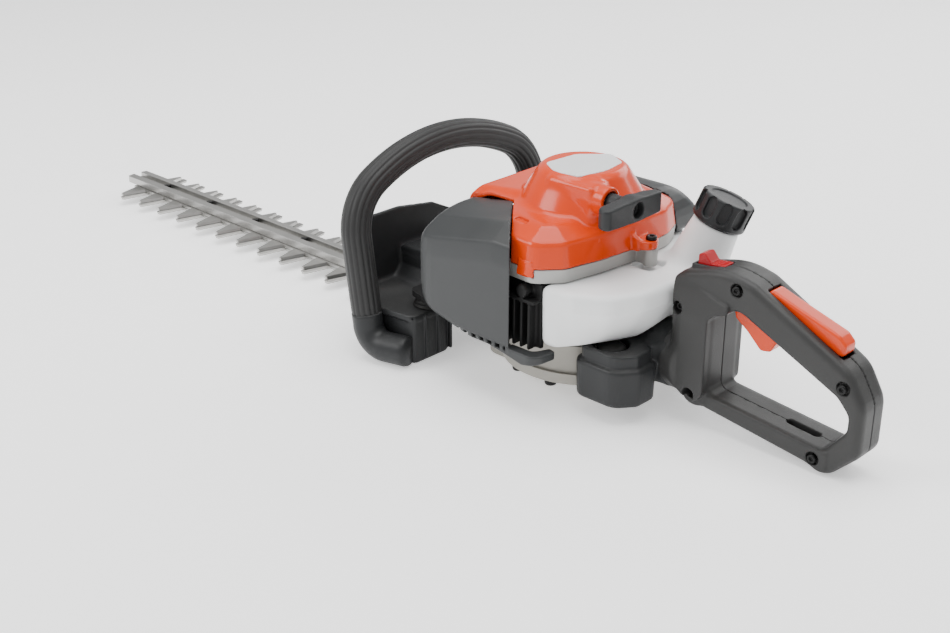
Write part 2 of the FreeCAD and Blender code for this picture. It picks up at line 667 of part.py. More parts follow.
def starter_screw():
    """Cross-head screw through the starter cover's ear into the post of the fan housing."""
    head_z = BAND_TOP + 6
    slot_z = head_z + 1.6
    whole = fuse(rod(62, 6, head_z, 4.6, 2.8), rod(62, 6, BAND_FOOT, 2.0, head_z - BAND_FOOT))
    along = box(61.4, 62.6, 2, 10, slot_z, slot_z + 3)
    across = box(58, 66, 5.4, 6.6, slot_z, slot_z + 3)
    return cut(whole, along, across)


# ---- fuel system ----
TANK_FOOT = [(27, -88, 7), (42, -88, 12), (54, -70, 20), (68, -42, 20), (78, -14, 10)]
TANK_BROW = [(27, -90, 7), (58, -86, 14), (84, -72, 20), (96, -44, 30), (98, -12, 12)]
TANK_INSIDE = [(56, -14, 10), (50, -44, 10), (27, -54, 7)]
TANK_Z = (60.0, 96.0, 111.0)
CAP_AXIS = Vector(0.27, 0.26, 0.927).normalize()
CAP_SEAT = Vector(94, 49, 143)


def tank_outline(rear, inset):
    """Closed plan outline from its left half, with the wall pulled in on both faces."""
    outside = [(x - inset * (1 if x > 30 else -1), y + inset, r - inset) for x, y, r in rear]
    inside = [(x + inset, y - (inset if x < 30 else 0), r) for x, y, r in TANK_INSIDE]
    left = [inside[2]] + outside
    right = [(x, -y, r) for x, y, r in reversed(left)]
    return left + right + [(x, -y, r) for x, y, r in reversed(inside[:2])] + inside[:2]


def tank_solid(inset):
    """Slanting lower walls below an upright rim, over a channel for the chassis neck."""
    foot_z, brow_z, top_z = TANK_Z
    foot = moved_wire(tank_outline(TANK_FOOT, inset), foot_z + inset)
    brow = moved_wire(tank_outline(TANK_BROW, inset), brow_z)
    top = moved_wire(tank_outline(TANK_BROW, inset), top_z - inset)
    lower = Part.makeLoft([foot, brow], True, True)
    upper = Part.makeLoft([brow, top], True, True)
    return cut(fuse(lower, upper), rod(20, 0, 47, 27.5 + inset, 120, ALONG))


def fuel_tank():
    """Hollow moulded tank that wraps round the back of the engine, with a leaning filler neck."""
    base = CAP_SEAT - CAP_AXIS * 42
    neck = Part.makeCone(24, 19.5, 42, base, CAP_AXIS)
    neck = neck.common(box(20, 140, 0, 110, 92, 170))
    bore = Part.makeCylinder(16.5, 60, base - CAP_AXIS * 4, CAP_AXIS)
    bore = bore.common(box(20, 140, 0, 110, 100, 190))
    shape = cut(fuse(tank_solid(0.0), neck), tank_solid(2.4), bore)
    return shape


def fuel_cap():
    """Knurled cap with eight finger recesses and a threaded skirt."""
    body = Part.makeCylinder(22, 20, CAP_SEAT + CAP_AXIS * 1.2, CAP_AXIS)
    skirt = Part.makeCylinder(15.6, 10, CAP_SEAT - CAP_AXIS * 8, CAP_AXIS)
    hollow = Part.makeCylinder(13, 9, CAP_SEAT - CAP_AXIS * 9, CAP_AXIS)
    side = CAP_AXIS.cross(ALONG).normalize()
    recesses = []
    for n in range(8):
        pocket = Part.makeCylinder(4.4, 17, CAP_SEAT + CAP_AXIS * 6.5 + side * 24, CAP_AXIS)
        recesses.append(turned(pocket, 45 * n, CAP_AXIS, CAP_SEAT))
    dish = Part.makeCylinder(13.5, 2, CAP_SEAT + CAP_AXIS * 20.2, CAP_AXIS)
    return cut(fuse(body, skirt), hollow, dish, *recesses)


def fuel_cap_seal():
    outer = Part.makeCylinder(18.5, 1.0, CAP_SEAT + CAP_AXIS * 0.1, CAP_AXIS)
    return cut(outer, Part.makeCylinder(15.9, 4, CAP_SEAT - CAP_AXIS, CAP_AXIS))


def fuel_filter():
    return fuse(rod(46, -70, 68, 5, 14), rod(46, -70, 82, 2.2, 20))


# ---- handles and frame ----
SCREWS = [(161, 125), (256, 76), (238, 12), (128, 28), (112, 98)]
TRIGGER_PIVOT = Vector(160, 0, 113.5)
LEVER_PIVOT = Vector(186, 0, 121)
SWITCH_PIVOT = Vector(128, 0, 126)
HANDLE = [(102, 124, 14), (150, 138.5, 60), (174, 133, 30), (259.5, 88.5, 26), (HANDLE_END, 64, 24),
          (HANDLE_END, 24, 12), (247, -2.96, 14), (234, 3.6, 30), (128, 19, 12), (107, 46, 24)]
OPENING = [(141, 101, 8), (164, 108, 12), (251, 66.5, 14), (261.5, 55, 9), (261.5, 42, 9), (245, 20.5, 8),
           (141, 31, 10)]


def inset_face(points, inset):
    return outline(points).makeOffset2D(inset)


def handle_half():
    """Left shell of the rear handle, up to its split line at y = 0."""
    def prism(points, inset, y0, y1):
        shape = Part.Face(inset_face(points, inset)).extrude(Vector(0, 0, y1 - y0))
        shape.translate(Vector(0, 0, -y1))
        shape.rotate(Vector(0, 0, 0), ALONG, 90)
        return shape

    skin = prism(HANDLE, 0.0, -HANDLE_HALF, 0)
    window = prism(OPENING, 0.0, -60, 10)
    pillar = side_slab([(104.5, 98, 6), (140.9, 98, 3), (140.9, 34, 3), (112, 30, 6)], -PILLAR_HALF, 0)
    shape = fuse(cut(skin, window), pillar)
    hollow = cut(prism(HANDLE, -WALL, -HANDLE_HALF + WALL, 1), prism(OPENING, WALL, -60, 10))
    pillar_hollow = box(110, 138, -PILLAR_HALF + WALL, 1, 38, 94)
    shape = cut(shape, hollow, pillar_hollow, box(150, 300, -60, 60, -10, 0))
    bosses = []
    for x, z in SCREWS:
        boss = rod(x, -HANDLE_HALF + 0.5, z, 5.5, HANDLE_HALF - 0.7, ACROSS)
        head_room = rod(x, -30, z, 3.9, 30 - HANDLE_HALF + 5, ACROSS)
        bosses.append(cut(boss, rod(x, -30, z, 2.1, 40, ACROSS), head_room))
    holes = [rod(x, -30, z, 3.9, 30 - HANDLE_HALF + 5, ACROSS) for x, z in SCREWS]
    trigger_gap = box(147, 202, -7.4, 1, 88, 122)
    lever_gap = turned(box(-3, 81, -LEVER_HALF - 0.8, 1, -15, 12), 24.0, ACROSS, Vector(0, 0, 0))
    lever_gap.translate(Vector(178, 0, 129.5))
    switch_gap = box(113, 143, -6.6, 1, 110, 150)
    return cut(fuse(cut(shape, *holes), *bosses), trigger_gap, lever_gap, switch_gap)


def rear_handle_left():
    return cut(handle_half(), rod(90, 0, 47, 20.02, 30, ALONG))


def rear_handle_right():
    return rear_handle_left().mirror(Vector(0, 0, 0), ACROSS)


def handle_screws():
    """Socket screws that clamp the two halves of the rear handle."""
    solids = []
    for x, z in SCREWS:
        y0 = -HANDLE_HALF + 1.2
        head = rod(x, y0, z, 3.6, 3.2, ACROSS)
        stem = rod(x, y0 + 3, z, 2.0, 28, ACROSS)
        socket = rod(x, y0 - 1, z, 1.7, 2.6, ACROSS)
        solids.append(cut(fuse(head, stem), socket))
    return solids


def case_screws():
    """Every screw that holds the cases and covers together."""
    return Part.makeCompound(gear_case_screws() + [starter_screw()] + handle_screws())


def throttle_trigger():
    blade_part = side_slab([(152, 104, 3), (154, 119, 4), (167, 119, 4), (197, 97, 3), (193, 90, 4),
                            (186, 78, 3), (178, 77, 3), (166, 88, 14), (154, 97, 4)], -6.6, 6.6)
    return cut(blade_part, rod(TRIGGER_PIVOT.x, -10, TRIGGER_PIVOT.z, 2.05, 20, ACROSS))


def lockout_lever():
    """Long palm lever let into the top of the grip."""
    outline_points = [(181, 126, 2), (184, 129.5, 3), (242, 109.5, 8), (249.5, 103.5, 4), (248.5, 92, 3),
                      (243, 95, 3), (181, 121.5, 2)]
    body = side_slab(outline_points, -LEVER_HALF, LEVER_HALF)
    hinge = rod(LEVER_PIVOT.x, -LEVER_HALF, LEVER_PIVOT.z, 4.5, 2 * LEVER_HALF, ACROSS)
    return cut(fuse(body, hinge), rod(LEVER_PIVOT.x, -12, LEVER_PIVOT.z, 2.05, 24, ACROSS))


def lever_pins():
    trigger_pin = rod(TRIGGER_PIVOT.x, -12, TRIGGER_PIVOT.z, 2.0, 24, ACROSS)
    lever_pin = rod(LEVER_PIVOT.x, -12, LEVER_PIVOT.z, 2.0, 24, ACROSS)
    switch_pin = rod(SWITCH_PIVOT.x, -9, SWITCH_PIVOT.z, 1.5, 18, ACROSS)
    return Part.makeCompound([trigger_pin, lever_pin, switch_pin])


def stop_switch():
    """Rocker with a raised thumb ramp at its front."""
    body = side_slab([(116, 125, 2), (140, 125, 2), (141, 134.5, 1), (127, 133.5, 2), (121, 140, 1.5),
                      (116, 138.5, 1.5)], -6.2, 6.2)
    return cut(body, rod(SWITCH_PIVOT.x, -10, SWITCH_PIVOT.z, 1.55, 20, ACROSS))


DAMPER_SEAT = (67, -46)


def chassis_frame():
    """Neck from the rear handle that forks into two feet, each with a damper seat."""
    neck = rod(76, 0, 47, 25, 27.5, ALONG)
    spigot = rod(100, 0, 47, 20, 11, ALONG)
    arm = slab([(60, -40), (72, -46), (103, -16, 8), (103, -2), (70, -2)], 30, 60)
    foot = slab([(42, -69, 14), (88, -69, 16), (101, -52, 8), (101, -30, 8), (60, -8), (50, -20)], 16, 60)
    seat = rod(*DAMPER_SEAT, 46, 14.5, 20)
    x, y = DAMPER_SEAT
    reach, angle = math.hypot(x, y), math.degrees(math.atan2(y, x))
    ear_slot = turned(box(60, reach, -9.5, 9.5, 42.5, 62), angle, UP, Vector(0, 0, 0))
    ear_end = rod(x, y, 42.5, 9.5, 10)
    side = cut(fuse(foot, arm), seat, ear_slot, ear_end)
    shape = fuse(neck, spigot, *both_sides(side))
    clear_case = rod(0, 0, 0, RIM_RADIUS + 1.5, 80)
    return cut(shape, clear_case, rod(50, 0, 47, 16, 80, ALONG))


def damper(x, y, z0, z1, radius):
    """Rubber bellows: a stack of discs."""
    rings = 4
    step = (z1 - z0) / rings
    parts = [rod(x, y, z0, radius * 0.62, z1 - z0)]
    for n in range(rings):
        parts.append(rod(x, y, z0 + step * n + step * 0.15, radius * (1 - 0.07 * n), step * 0.55))
    return fuse(*parts)


def rear_dampers():
    x, y = DAMPER_SEAT
    return Part.makeCompound([damper(x, side * y, CASE_TOP, 59.5, 13.5) for side in (-1, 1)])


def front_dampers():
    return Part.makeCompound([damper(-118, side * 68, 45.2, 53.4, 14) for side in (-1, 1)])


def hand_guard():
    """Leaning shield with a shelf, a bridge over the blade and two hollow blocks that stand on the floor."""
    shield = end_slab([(-84, 30, 6), (-84, 86, 24), (-52, 98, 30), (0, 98, 200), (52, 95, 30),
                       (82, 84, 24), (82, 30, 6)], GUARD_X - 3, GUARD_X)
    shield = turned(shield, -LOOP_LEAN, ACROSS, Vector(GUARD_X, 0, 30))
    shelf = slab(mirrored([(GUARD_X - 4, -88, 10), (-106, -98, 10)]), 40, 45)
    block = slab([(GUARD_X - 3, -84, 12), (-150, -98, 14), (-106, -98, 5), (-106, -52, 10),
                  (GUARD_X - 3, -44, 10)], 0, 42)
    hollow = slab([(GUARD_X + 1, -82, 8), (-148, -94, 10), (-110, -94, 3), (-110, -56, 6),
                   (GUARD_X + 1, -48, 6)], 3.5, 39)
    block = cut(block, hollow)
    bridge = end_slab([(-34, 42, 4), (-34, 76, 5), (34, 76, 5), (34, 42, 4)], GUARD_X - 1, -96)
    tunnel = end_slab([(-31, 30), (-31, 73, 3), (31, 73, 3), (31, 30)], GUARD_X + 2, -90)
    shape = fuse(shield, shelf, bridge, *both_sides(block))
    blade_way = box(-260, -100, -32, 32, -5, 47)
    lead_room = box(-130, -95, -30, 30, 40, 73)
    return cut(shape, tunnel, blade_way, lead_room, *both_sides(handle_elbow()))


def loop_wire(bottom):
    """Upright arch of three arcs on straight legs, leaned forward."""
    small = 50.0
    large = ((LOOP_HALF - small) ** 2 + LOOP_RISE ** 2 - small ** 2) / (2 * (LOOP_RISE - small))
    centre_z = LOOP_SPRING + LOOP_RISE - large
    angle = math.atan2(LOOP_HALF - small, LOOP_SPRING - centre_z)
    half_way = (angle + math.pi / 2) / 2
    crown = Vector(0, 0, LOOP_SPRING + LOOP_RISE)

    def shoulder(side):
        joint = Vector(0, side * large * math.sin(angle), centre_z + large * math.cos(angle))
        corner = Vector(0, side * (LOOP_HALF - small + small * math.sin(half_way)),
                        LOOP_SPRING + small * math.cos(half_way))
        return joint, corner, Vector(0, side * LOOP_HALF, LOOP_SPRING), Vector(0, side * LOOP_HALF, bottom)

    left_joint, left_corner, left_spring, left_foot = shoulder(-1)
    right_joint, right_corner, right_spring, right_foot = shoulder(1)
    edges = [
        Part.makeLine(left_foot, left_spring),
        Part.Arc(left_spring, left_corner, left_joint).toShape(),
        Part.Arc(left_joint, crown, right_joint).toShape(),
        Part.Arc(right_joint, right_corner, right_spring).toShape(),
        Part.makeLine(right_spring, right_foot),
    ]
    wire = Part.Wire(edges)
    wire.translate(Vector(LOOP_X, 0, 0))
    wire.rotate(Vector(LOOP_X, 0, 0), ACROSS, -LOOP_LEAN)
    return wire


def handle_elbow():
    lean = math.tan(math.radians(LOOP_LEAN))
    top = (LOOP_X - 42.0 * lean, -LOOP_HALF, 41.5)
    path = tube_path([top, (LOOP_X - 13 * lean, -LOOP_HALF, 13.2), (-112, -101, 13.2)], [15.0])
    return tube(path, GRIP_RADIUS)


def front_handle():
    """Arch with an elbow at each end that runs back along the guard's block."""
    arch = tube(loop_wire(40.0), TUBE_RADIUS)
    return fuse(arch, *both_sides(handle_elbow()))


def front_grip():
    """Ribbed rubber sleeve over the arch."""
    wire = loop_wire(44.0)
    return cut(tube(wire, GRIP_RADIUS), tube(wire, TUBE_RADIUS + 0.01))


# ---- starter rope and controls ----
def starter_rope():
    """Rope on the pulley's groove, leaving at a tangent for the grip."""
    return rod(12, -PULLEY_RADIUS, PULLEY_Z, ROPE_RADIUS, GRIP_FACE - 20, ALONG)


def starter_grip():
    """T-shaped pull grip with a knot recess in its back and a rubber ferrule."""
    y, z = -PULLEY_RADIUS, PULLEY_Z
    bar = slab([(GRIP_FACE - 13, y - 38, 6), (GRIP_FACE, y - 38, 4), (GRIP_FACE, y + 30, 4),
                (GRIP_FACE - 9, y + 30, 4)], z - 9.5, z + 9.5)
    ferrule = cone(44.6, y, z, 6.0, 8.0, 20, ALONG)
    knot = rod(GRIP_FACE - 7, y, z, 5.0, 9, ALONG)
    return cut(fuse(bar, ferrule), knot, rod(30, y, z, ROPE_RADIUS + 0.1, 40, ALONG))


def throttle_cable():
    """Cable from the handle, through the neck and up beside the engine to the carburettor."""
    route = [(150, 0, 113), (126, 0, 104), (122, 0, 72), (112, 0, 50), (80, 0, 54), (60, 6, 56.5),
             (50, 26, 60), (42, 42, 60), (24, 50, 66), (-4, 50, 84), (-20, 56, 104)]
    radii = []
    for before, here, after in zip(route, route[1:], route[2:]):
        a, b = Vector(*before) - Vector(*here), Vector(*after) - Vector(*here)
        turn = math.pi - a.getAngle(b)
        radii.append(0.45 * min(a.Length, b.Length) / math.tan(turn / 2))
    return tube(tube_path(route, radii), 2.4)


NODES = {
    "guide_bar": guide_bar,
    "upper_blade": lambda: blade_back(-BLADE_REST, UPPER_Z),
    "upper_teeth": lambda: blade_teeth(-BLADE_REST, UPPER_Z, 40.0, 2.6, True),
    "lower_blade": lambda: blade_back(BLADE_REST, LOWER_Z),
    "lower_teeth": lambda: blade_teeth(BLADE_REST, LOWER_Z, 43.0, 3.6, False),
    "blade_bolts": blade_bolts,
    "gear_case_lower": gear_case_lower,
    "gear_case_upper": gear_case_upper,
    "clutch_drum": clutch_drum,
    "drum_bearing": drum_bearing,
    "drive_gear": drive_gear,
    "clutch_shoes": clutch_shoes,
    "crankcase_lower": crankcase_lower,
    "crankcase_upper": crankcase_upper,
    "main_bearings": main_bearings,
    "cylinder": cylinder,
    "piston": piston,
    "connecting_rod": connecting_rod,
    "gudgeon_pin": gudgeon_pin,
    "crankshaft": crankshaft,
    "flywheel": flywheel,
    "flywheel_nut": flywheel_nut,
    "ignition_coil": ignition_coil,
    "starter_pulley": starter_pulley,
    "recoil_spring": recoil_spring,
    "spark_plug": spark_plug,
    "spark_plug_cap": spark_plug_cap,
    "muffler": muffler,
    "intake_boot": intake_boot,
    "carburettor": carburettor,
    "throttle_lever": throttle_lever,
    "choke_lever": choke_lever,
    "primer_bulb": primer_bulb,
    "primer_base": primer_base,
    "air_filter": air_filter,
    "air_filter_cover": air_filter_cover,
    "engine_shroud": engine_shroud,
    "fan_housing": fan_housing,
    "starter_cover": starter_cover,
    "dome_plate": dome_plate,
    "fuel_tank": fuel_tank,
    "fuel_filter": fuel_filter,
    "fuel_cap": fuel_cap,
    "fuel_cap_seal": fuel_cap_seal,
    "rear_handle_left": rear_handle_left,
    "rear_handle_right": rear_handle_right,
    "case_screws": case_screws,
    "throttle_trigger": throttle_trigger,
    "lockout_lever": lockout_lever,
    "lever_pins": lever_pins,
    "stop_switch": stop_switch,
    "chassis_frame": chassis_frame,
    "rear_dampers": rear_dampers,
    "front_dampers": front_dampers,
    "hand_guard": hand_guard,
    "front_handle": front_handle,
    "front_grip": front_grip,
    "starter_rope": starter_rope,
    "starter_grip": starter_grip,
    "throttle_cable": throttle_cable,
}


def main():
    os.makedirs("parts", exist_ok=True)
    for name, build in NODES.items():
        shape = build().copy()
        shape.translate(PLACE)
        shape.exportStep(f"parts/{name}.step")


main()
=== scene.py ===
import math
import bpy
import numpy as np
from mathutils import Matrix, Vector
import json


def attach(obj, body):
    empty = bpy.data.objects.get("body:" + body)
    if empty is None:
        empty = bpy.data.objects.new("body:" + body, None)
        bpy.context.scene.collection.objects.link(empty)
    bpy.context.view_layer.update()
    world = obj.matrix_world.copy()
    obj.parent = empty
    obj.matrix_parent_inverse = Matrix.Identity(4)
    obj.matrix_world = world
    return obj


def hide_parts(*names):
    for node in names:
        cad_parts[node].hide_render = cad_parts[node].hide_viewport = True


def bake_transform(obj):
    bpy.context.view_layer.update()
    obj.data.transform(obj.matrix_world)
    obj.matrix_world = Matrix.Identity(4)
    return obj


# Petrol hedge trimmer: the visual model around its CAD frame.
# Shapes are drawn in millimetres from the crankshaft axis, and put into the frame by mesh_object().

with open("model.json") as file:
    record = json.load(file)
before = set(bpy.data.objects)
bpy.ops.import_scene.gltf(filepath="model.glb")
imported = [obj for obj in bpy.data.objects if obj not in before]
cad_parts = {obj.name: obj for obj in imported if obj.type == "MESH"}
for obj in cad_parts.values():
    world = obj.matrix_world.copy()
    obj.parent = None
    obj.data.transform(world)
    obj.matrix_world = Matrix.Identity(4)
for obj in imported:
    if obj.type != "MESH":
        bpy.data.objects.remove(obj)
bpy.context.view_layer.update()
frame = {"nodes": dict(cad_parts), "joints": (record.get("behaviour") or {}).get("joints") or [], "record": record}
CRANK_X = next(j for j in frame["joints"] if j["name"] == "crank_spin")["pos_m"][0] * 1000
FINE = 1.25      # grid step of the modelled shells
MEDIUM = 1.6

BAND_LOW, BAND_HIGH = 112.0, 124.0      # metal band under the starter cover
DOME_TOP = 183.0
ROPE_Y, ROPE_Z = -28.0, 169.0
LOOP_LEAN = math.radians(8.37)
LOOP_X, LOOP_HALF, LOOP_SPRING, LOOP_RISE = -145.5, 111.0, 107.0, 64.5
NECK_Z = 47.0                           # axis of the tube between chassis and rear handle
EAR_X, EAR_Y = 62.0, 6.0                # screw post at the back of the band
COVER_WALL = 2.8
CAP_AXIS = np.array((0.27, 0.26, 0.927)) / math.sqrt(0.27 ** 2 + 0.26 ** 2 + 0.927 ** 2)
CAP_SEAT = np.array((94.0, 49.0, 143.0))
DAMPER_X, DAMPER_Y = 67.0, -46.0        # rear dampers
CLUTCH_CASE = 70.5


# ---- distance fields: negative inside, in millimetres ----
def rounded(points):
    """Polygon from (x, y) or (x, y, corner radius) points."""
    flat_points = [np.array(p[:2], float) for p in points]
    out = []
    for i, here in enumerate(flat_points):
        radius = points[i][2] if len(points[i]) > 2 else 0.0
        to_before = flat_points[i - 1] - here
        to_after = flat_points[(i + 1) % len(points)] - here
        to_before /= np.linalg.norm(to_before)
        to_after /= np.linalg.norm(to_after)
        half = math.acos(float(np.clip(to_before @ to_after, -1, 1))) / 2
        if radius == 0.0 or abs(half - math.pi / 2) < 0.02:
            out.append(here)
            continue
        middle = to_before + to_after
        centre = here + middle / np.linalg.norm(middle) * radius / math.sin(half)
        first = here + to_before * radius / math.tan(half) - centre
        last = here + to_after * radius / math.tan(half) - centre
        start = math.atan2(first[1], first[0])
        turn = math.atan2(last[1], last[0]) - start
        turn = (turn + math.pi) % (2 * math.pi) - math.pi
        for step in range(7):
            angle = start + turn * step / 6
            out.append(centre + radius * np.array((math.cos(angle), math.sin(angle))))
    return np.array(out)


def inside_of(polygon, a, b):
    """Signed distance of the points (a, b) from a polygon."""
    best = np.full(a.shape, 1e12)
    inside = np.zeros(a.shape, bool)
    for (x0, y0), (x1, y1) in zip(polygon, np.roll(polygon, -1, 0)):
        ex, ey = x1 - x0, y1 - y0
        wx, wy = a - x0, b - y0
        t = np.clip((wx * ex + wy * ey) / (ex * ex + ey * ey + 1e-9), 0, 1)
        best = np.minimum(best, (wx - ex * t) ** 2 + (wy - ey * t) ** 2)
        if y0 != y1:
            inside ^= ((y0 > b) != (y1 > b)) & (wx < ex * wy / ey)
    return np.where(inside, -1.0, 1.0) * np.sqrt(best)


def soft_min(a, b, k):
    h = np.clip(0.5 + 0.5 * (b - a) / k, 0, 1)
    return b * (1 - h) + a * h - k * h * (1 - h)


def soft_max(a, b, k):
    return -soft_min(-a, -b, k)


def both(k, *fields):
    """Intersection with edges rounded by about k."""
    total = fields[0]
    for field in fields[1:]:
        total = soft_max(total, field, k)
    return total


def between(value, low, high):
    return np.maximum(low - value, value - high)


def cylinder(p, centre, axis, radius, low, high, k=0.8):
    """Cylinder about a line, from low to high along it."""
    offset = p - np.array(centre, float)
    along = offset @ np.array(axis, float)
    away = np.sqrt(np.maximum((offset ** 2).sum(1) - along ** 2, 0))
    return both(k, away - radius, between(along, low, high))


def along_rope(p, radius, low, high, k=0.8):
    """Cylinder on the starter rope's line, from low to high in x."""
    return cylinder(p, (0, ROPE_Y, ROPE_Z), (1, 0, 0), radius, low, high, k)


def along_neck(p, radius, low, high, k=0.8):
    """Cylinder on the line of the rear handle's tube, from low to high in x."""
    return cylinder(p, (0, 0, NECK_Z), (1, 0, 0), radius, low, high, k)


def across(p, x, z, radius, low, high, k=0.8):
    """Cylinder across the machine through (x, z), from low to high in y."""
    return cylinder(p, (x, 0, z), (0, 1, 0), radius, low, high, k)


def block(p, low, high, k):
    """Box with edges rounded by k."""
    middle, half = (np.array(low, float) + high) / 2, (np.array(high, float) - low) / 2
    q = np.abs(p - middle) - half + k
    return np.linalg.norm(np.maximum(q, 0), axis=1) + np.minimum(q.max(1), 0) - k


def hollowed(body, wall):
    """Shell of a solid, the wall lying inside its surface."""
    return soft_max(body, -(body + wall), 0.4)


def cut_from(shape, tool, k=0.6):
    return soft_max(shape, -tool, k)


# ---- from a distance field to a mesh ----
CORNERS = np.array([(i, j, k) for i in (0, 1) for j in (0, 1) for k in (0, 1)])
CELL_EDGES = [(a, b) for a in range(8) for b in range(a + 1, 8) if np.abs(CORNERS[a] - CORNERS[b]).sum() == 1]
BLOCK = 4


def sampled(field, low, count, step):
    """Grid of the field's values, worked out only in the blocks that the surface may cross."""
    blocks = (count - 1) // BLOCK
    centres = np.stack(np.meshgrid(*[low[i] + step * BLOCK * (np.arange(blocks[i]) + 0.5) for i in range(3)],
                                   indexing="ij"), -1)
    coarse = field(centres.reshape(-1, 3)).reshape(blocks)
    values = coarse
    for axis in range(3):
        values = np.repeat(values, BLOCK, axis)
    values = np.pad(np.sign(values) * 1e3, ((0, 1),) * 3, mode="edge")
    near = np.abs(coarse) < step * BLOCK * 1.25
    for axis in range(3):
        near = np.repeat(near, BLOCK, axis)
    wanted = np.zeros(count, bool)
    for i, j, k in CORNERS:
        wanted[i:i + near.shape[0], j:j + near.shape[1], k:k + near.shape[2]] |= near
    where = np.argwhere(wanted)
    values[wanted] = field(low + where * step)
    return values


def slope(field, points):
    """Gradient of the field at the points."""
    reach = 0.15
    out = np.empty_like(points)
    for axis in range(3):
        shift = np.zeros(3)
        shift[axis] = reach
        out[:, axis] = (field(points + shift) - field(points - shift)) / (2 * reach)
    return out


def surface(field, low, high, step):
    """Vertices, quads and normals where the field is zero: surface nets, settled onto the surface."""
    low = np.array(low, float) - 2 * step
    cells = np.ceil((np.array(high, float) + 2 * step - low) / step / BLOCK).astype(int) * BLOCK
    values = sampled(field, low, cells + 1, step)
    inside = values < 0
    corner_sum = np.zeros(cells, int)
    for i, j, k in CORNERS:
        corner_sum += inside[i:i + cells[0], j:j + cells[1], k:k + cells[2]]
    active = (corner_sum > 0) & (corner_sum < 8)
    where = np.argwhere(active)
    number = np.full(cells, -1)
    number[active] = np.arange(len(where))
    corner_values = np.stack([values[tuple((where + c).T)] for c in CORNERS], 1)
    total, crossings = np.zeros((len(where), 3)), np.zeros((len(where), 1))
    for a, b in CELL_EDGES:
        va, vb = corner_values[:, a], corner_values[:, b]
        crosses = (va < 0) != (vb < 0)
        t = np.where(crosses, va / np.where(crosses, va - vb, 1.0), 0.0)[:, None]
        total += np.where(crosses[:, None], CORNERS[a] * (1 - t) + CORNERS[b] * t, 0.0)
        crossings += crosses[:, None]
    points = low + (where + total / crossings) * step
    for _ in range(3):
        gradient = slope(field, points)
        move = -field(points)[:, None] * gradient / np.maximum((gradient ** 2).sum(1), 0.05)[:, None]
        points = points + np.clip(move, -0.5 * step, 0.5 * step)
    return points, grid_quads(inside, number), slope(field, points)


def grid_quads(inside, number):
    """One quad round each grid edge that the surface crosses."""
    quads = []
    for axis in range(3):
        u, v = (axis + 1) % 3, (axis + 2) % 3
        first = np.moveaxis(inside, (axis, u, v), (0, 1, 2))
        cells = np.moveaxis(number, (axis, u, v), (0, 1, 2))
        here, ahead = first[:-1, 1:-1, 1:-1], first[1:, 1:-1, 1:-1]
        ring = np.stack([cells[:, :-1, :-1], cells[:, 1:, :-1], cells[:, 1:, 1:], cells[:, :-1, 1:]], -1)
        quads.append(ring[here & ~ahead])
        quads.append(ring[~here & ahead][:, ::-1])
    return np.concatenate(quads)


def mesh_object(name, points, faces, normals=None):
    """Object from points in millimetres about the crankshaft axis."""
    mesh = bpy.data.meshes.new(name)
    placed = (np.asarray(points, float) + (CRANK_X, 0, 0)) / 1000
    mesh.from_pydata(placed.tolist(), [], faces if isinstance(faces, list) else faces.tolist())
    mesh.update()
    mesh.shade_smooth()
    if normals is not None:
        unit = normals / np.maximum(np.linalg.norm(normals, axis=1), 1e-9)[:, None]
        mesh.normals_split_custom_set_from_vertices(unit.tolist())
    obj = bpy.data.objects.new(name, mesh)
    bpy.context.scene.collection.objects.link(obj)
    return obj


def shell(name, field, low, high, material, body="machine", replaces=(), step=MEDIUM):
    """Piece meshed from a field within the box from low to high."""
    obj = mesh_object(name, *surface(field, low, high, step))
    return dress(obj, material, body, replaces)


def dress(obj, material, body="machine", replaces=()):
    """Material, body, slot and replaced nodes of a finished piece."""
    obj.data.materials.clear()
    obj.data.materials.append(MATERIALS[material])
    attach(obj, body)
    if replaces:
        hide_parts(*replaces)
    return obj


# ---- starter cover, band, side covers ----
BAND = rounded([(-90, -52, 14), (-60, -80, 30), (-10, -92, 30), (23, -94, 16), (41, -74, 16), (48, -38, 60),
                (52, 2, 60), (50, 46, 30), (40, 72, 20), (8, 80, 20), (-60, 78, 20), (-90, 56, 14)])
SEAM_SLOPE = 0.86                      # the seam between shroud and cover runs aslant in plan


def seam_side(p):
    """Distance behind the slanting seam plane, or right of the seam along the cover's front wing."""
    x, y = p[:, 0], p[:, 1]
    slant = (x - 6 + SEAM_SLOPE * (y + 100)) / math.hypot(1, SEAM_SLOPE)
    return -soft_max(slant, y + 44, 1.0)


def cover_body(p):
    """Outside of the orange cover: deck, dome, front wing and the rope's duct."""
    x, y, z = p.T
    plan = inside_of(BAND, x, y)
    wall = (plan + 0.16 * (z - BAND_HIGH)) * 0.98
    roof = (z - 145 + 0.55 * (plan + 4)) * 0.88
    deck = both(2.5, wall, roof, z - 154)
    radius = np.hypot(x + 5, y)
    dome = both(5, (radius - 35 - 0.62 * (DOME_TOP - z)) * 0.85, wall, z - DOME_TOP)
    wing = both(3, between(x, -93, 0), (np.abs(y + 2) - 40 + 0.9 * (z - 151)) * 0.74,
                z - 154.5 - 0.09 * (x + 94), (-88 - x + 0.7 * (z - 151)) * 0.8)
    boss = along_rope(p, 11.8, -5, 46, 1.5)
    duct = block(p, (-10, ROPE_Y - 12, 150), (36, ROPE_Y + 12, 180.5), 4)
    body = soft_min(soft_min(deck, dome, 4), wing, 3)
    return soft_min(soft_min(body, duct, 5), boss, 2)


EAR_PLAN = rounded([(40, -8, 3), (66, -4, 7), (68, 6, 6), (64, 14, 6), (42, 14, 3)])
DIMPLE_PLAN = rounded([(-14, -75, 2.5), (0, -77, 2.5), (0, -71, 2.5), (-14, -69, 2.5)])


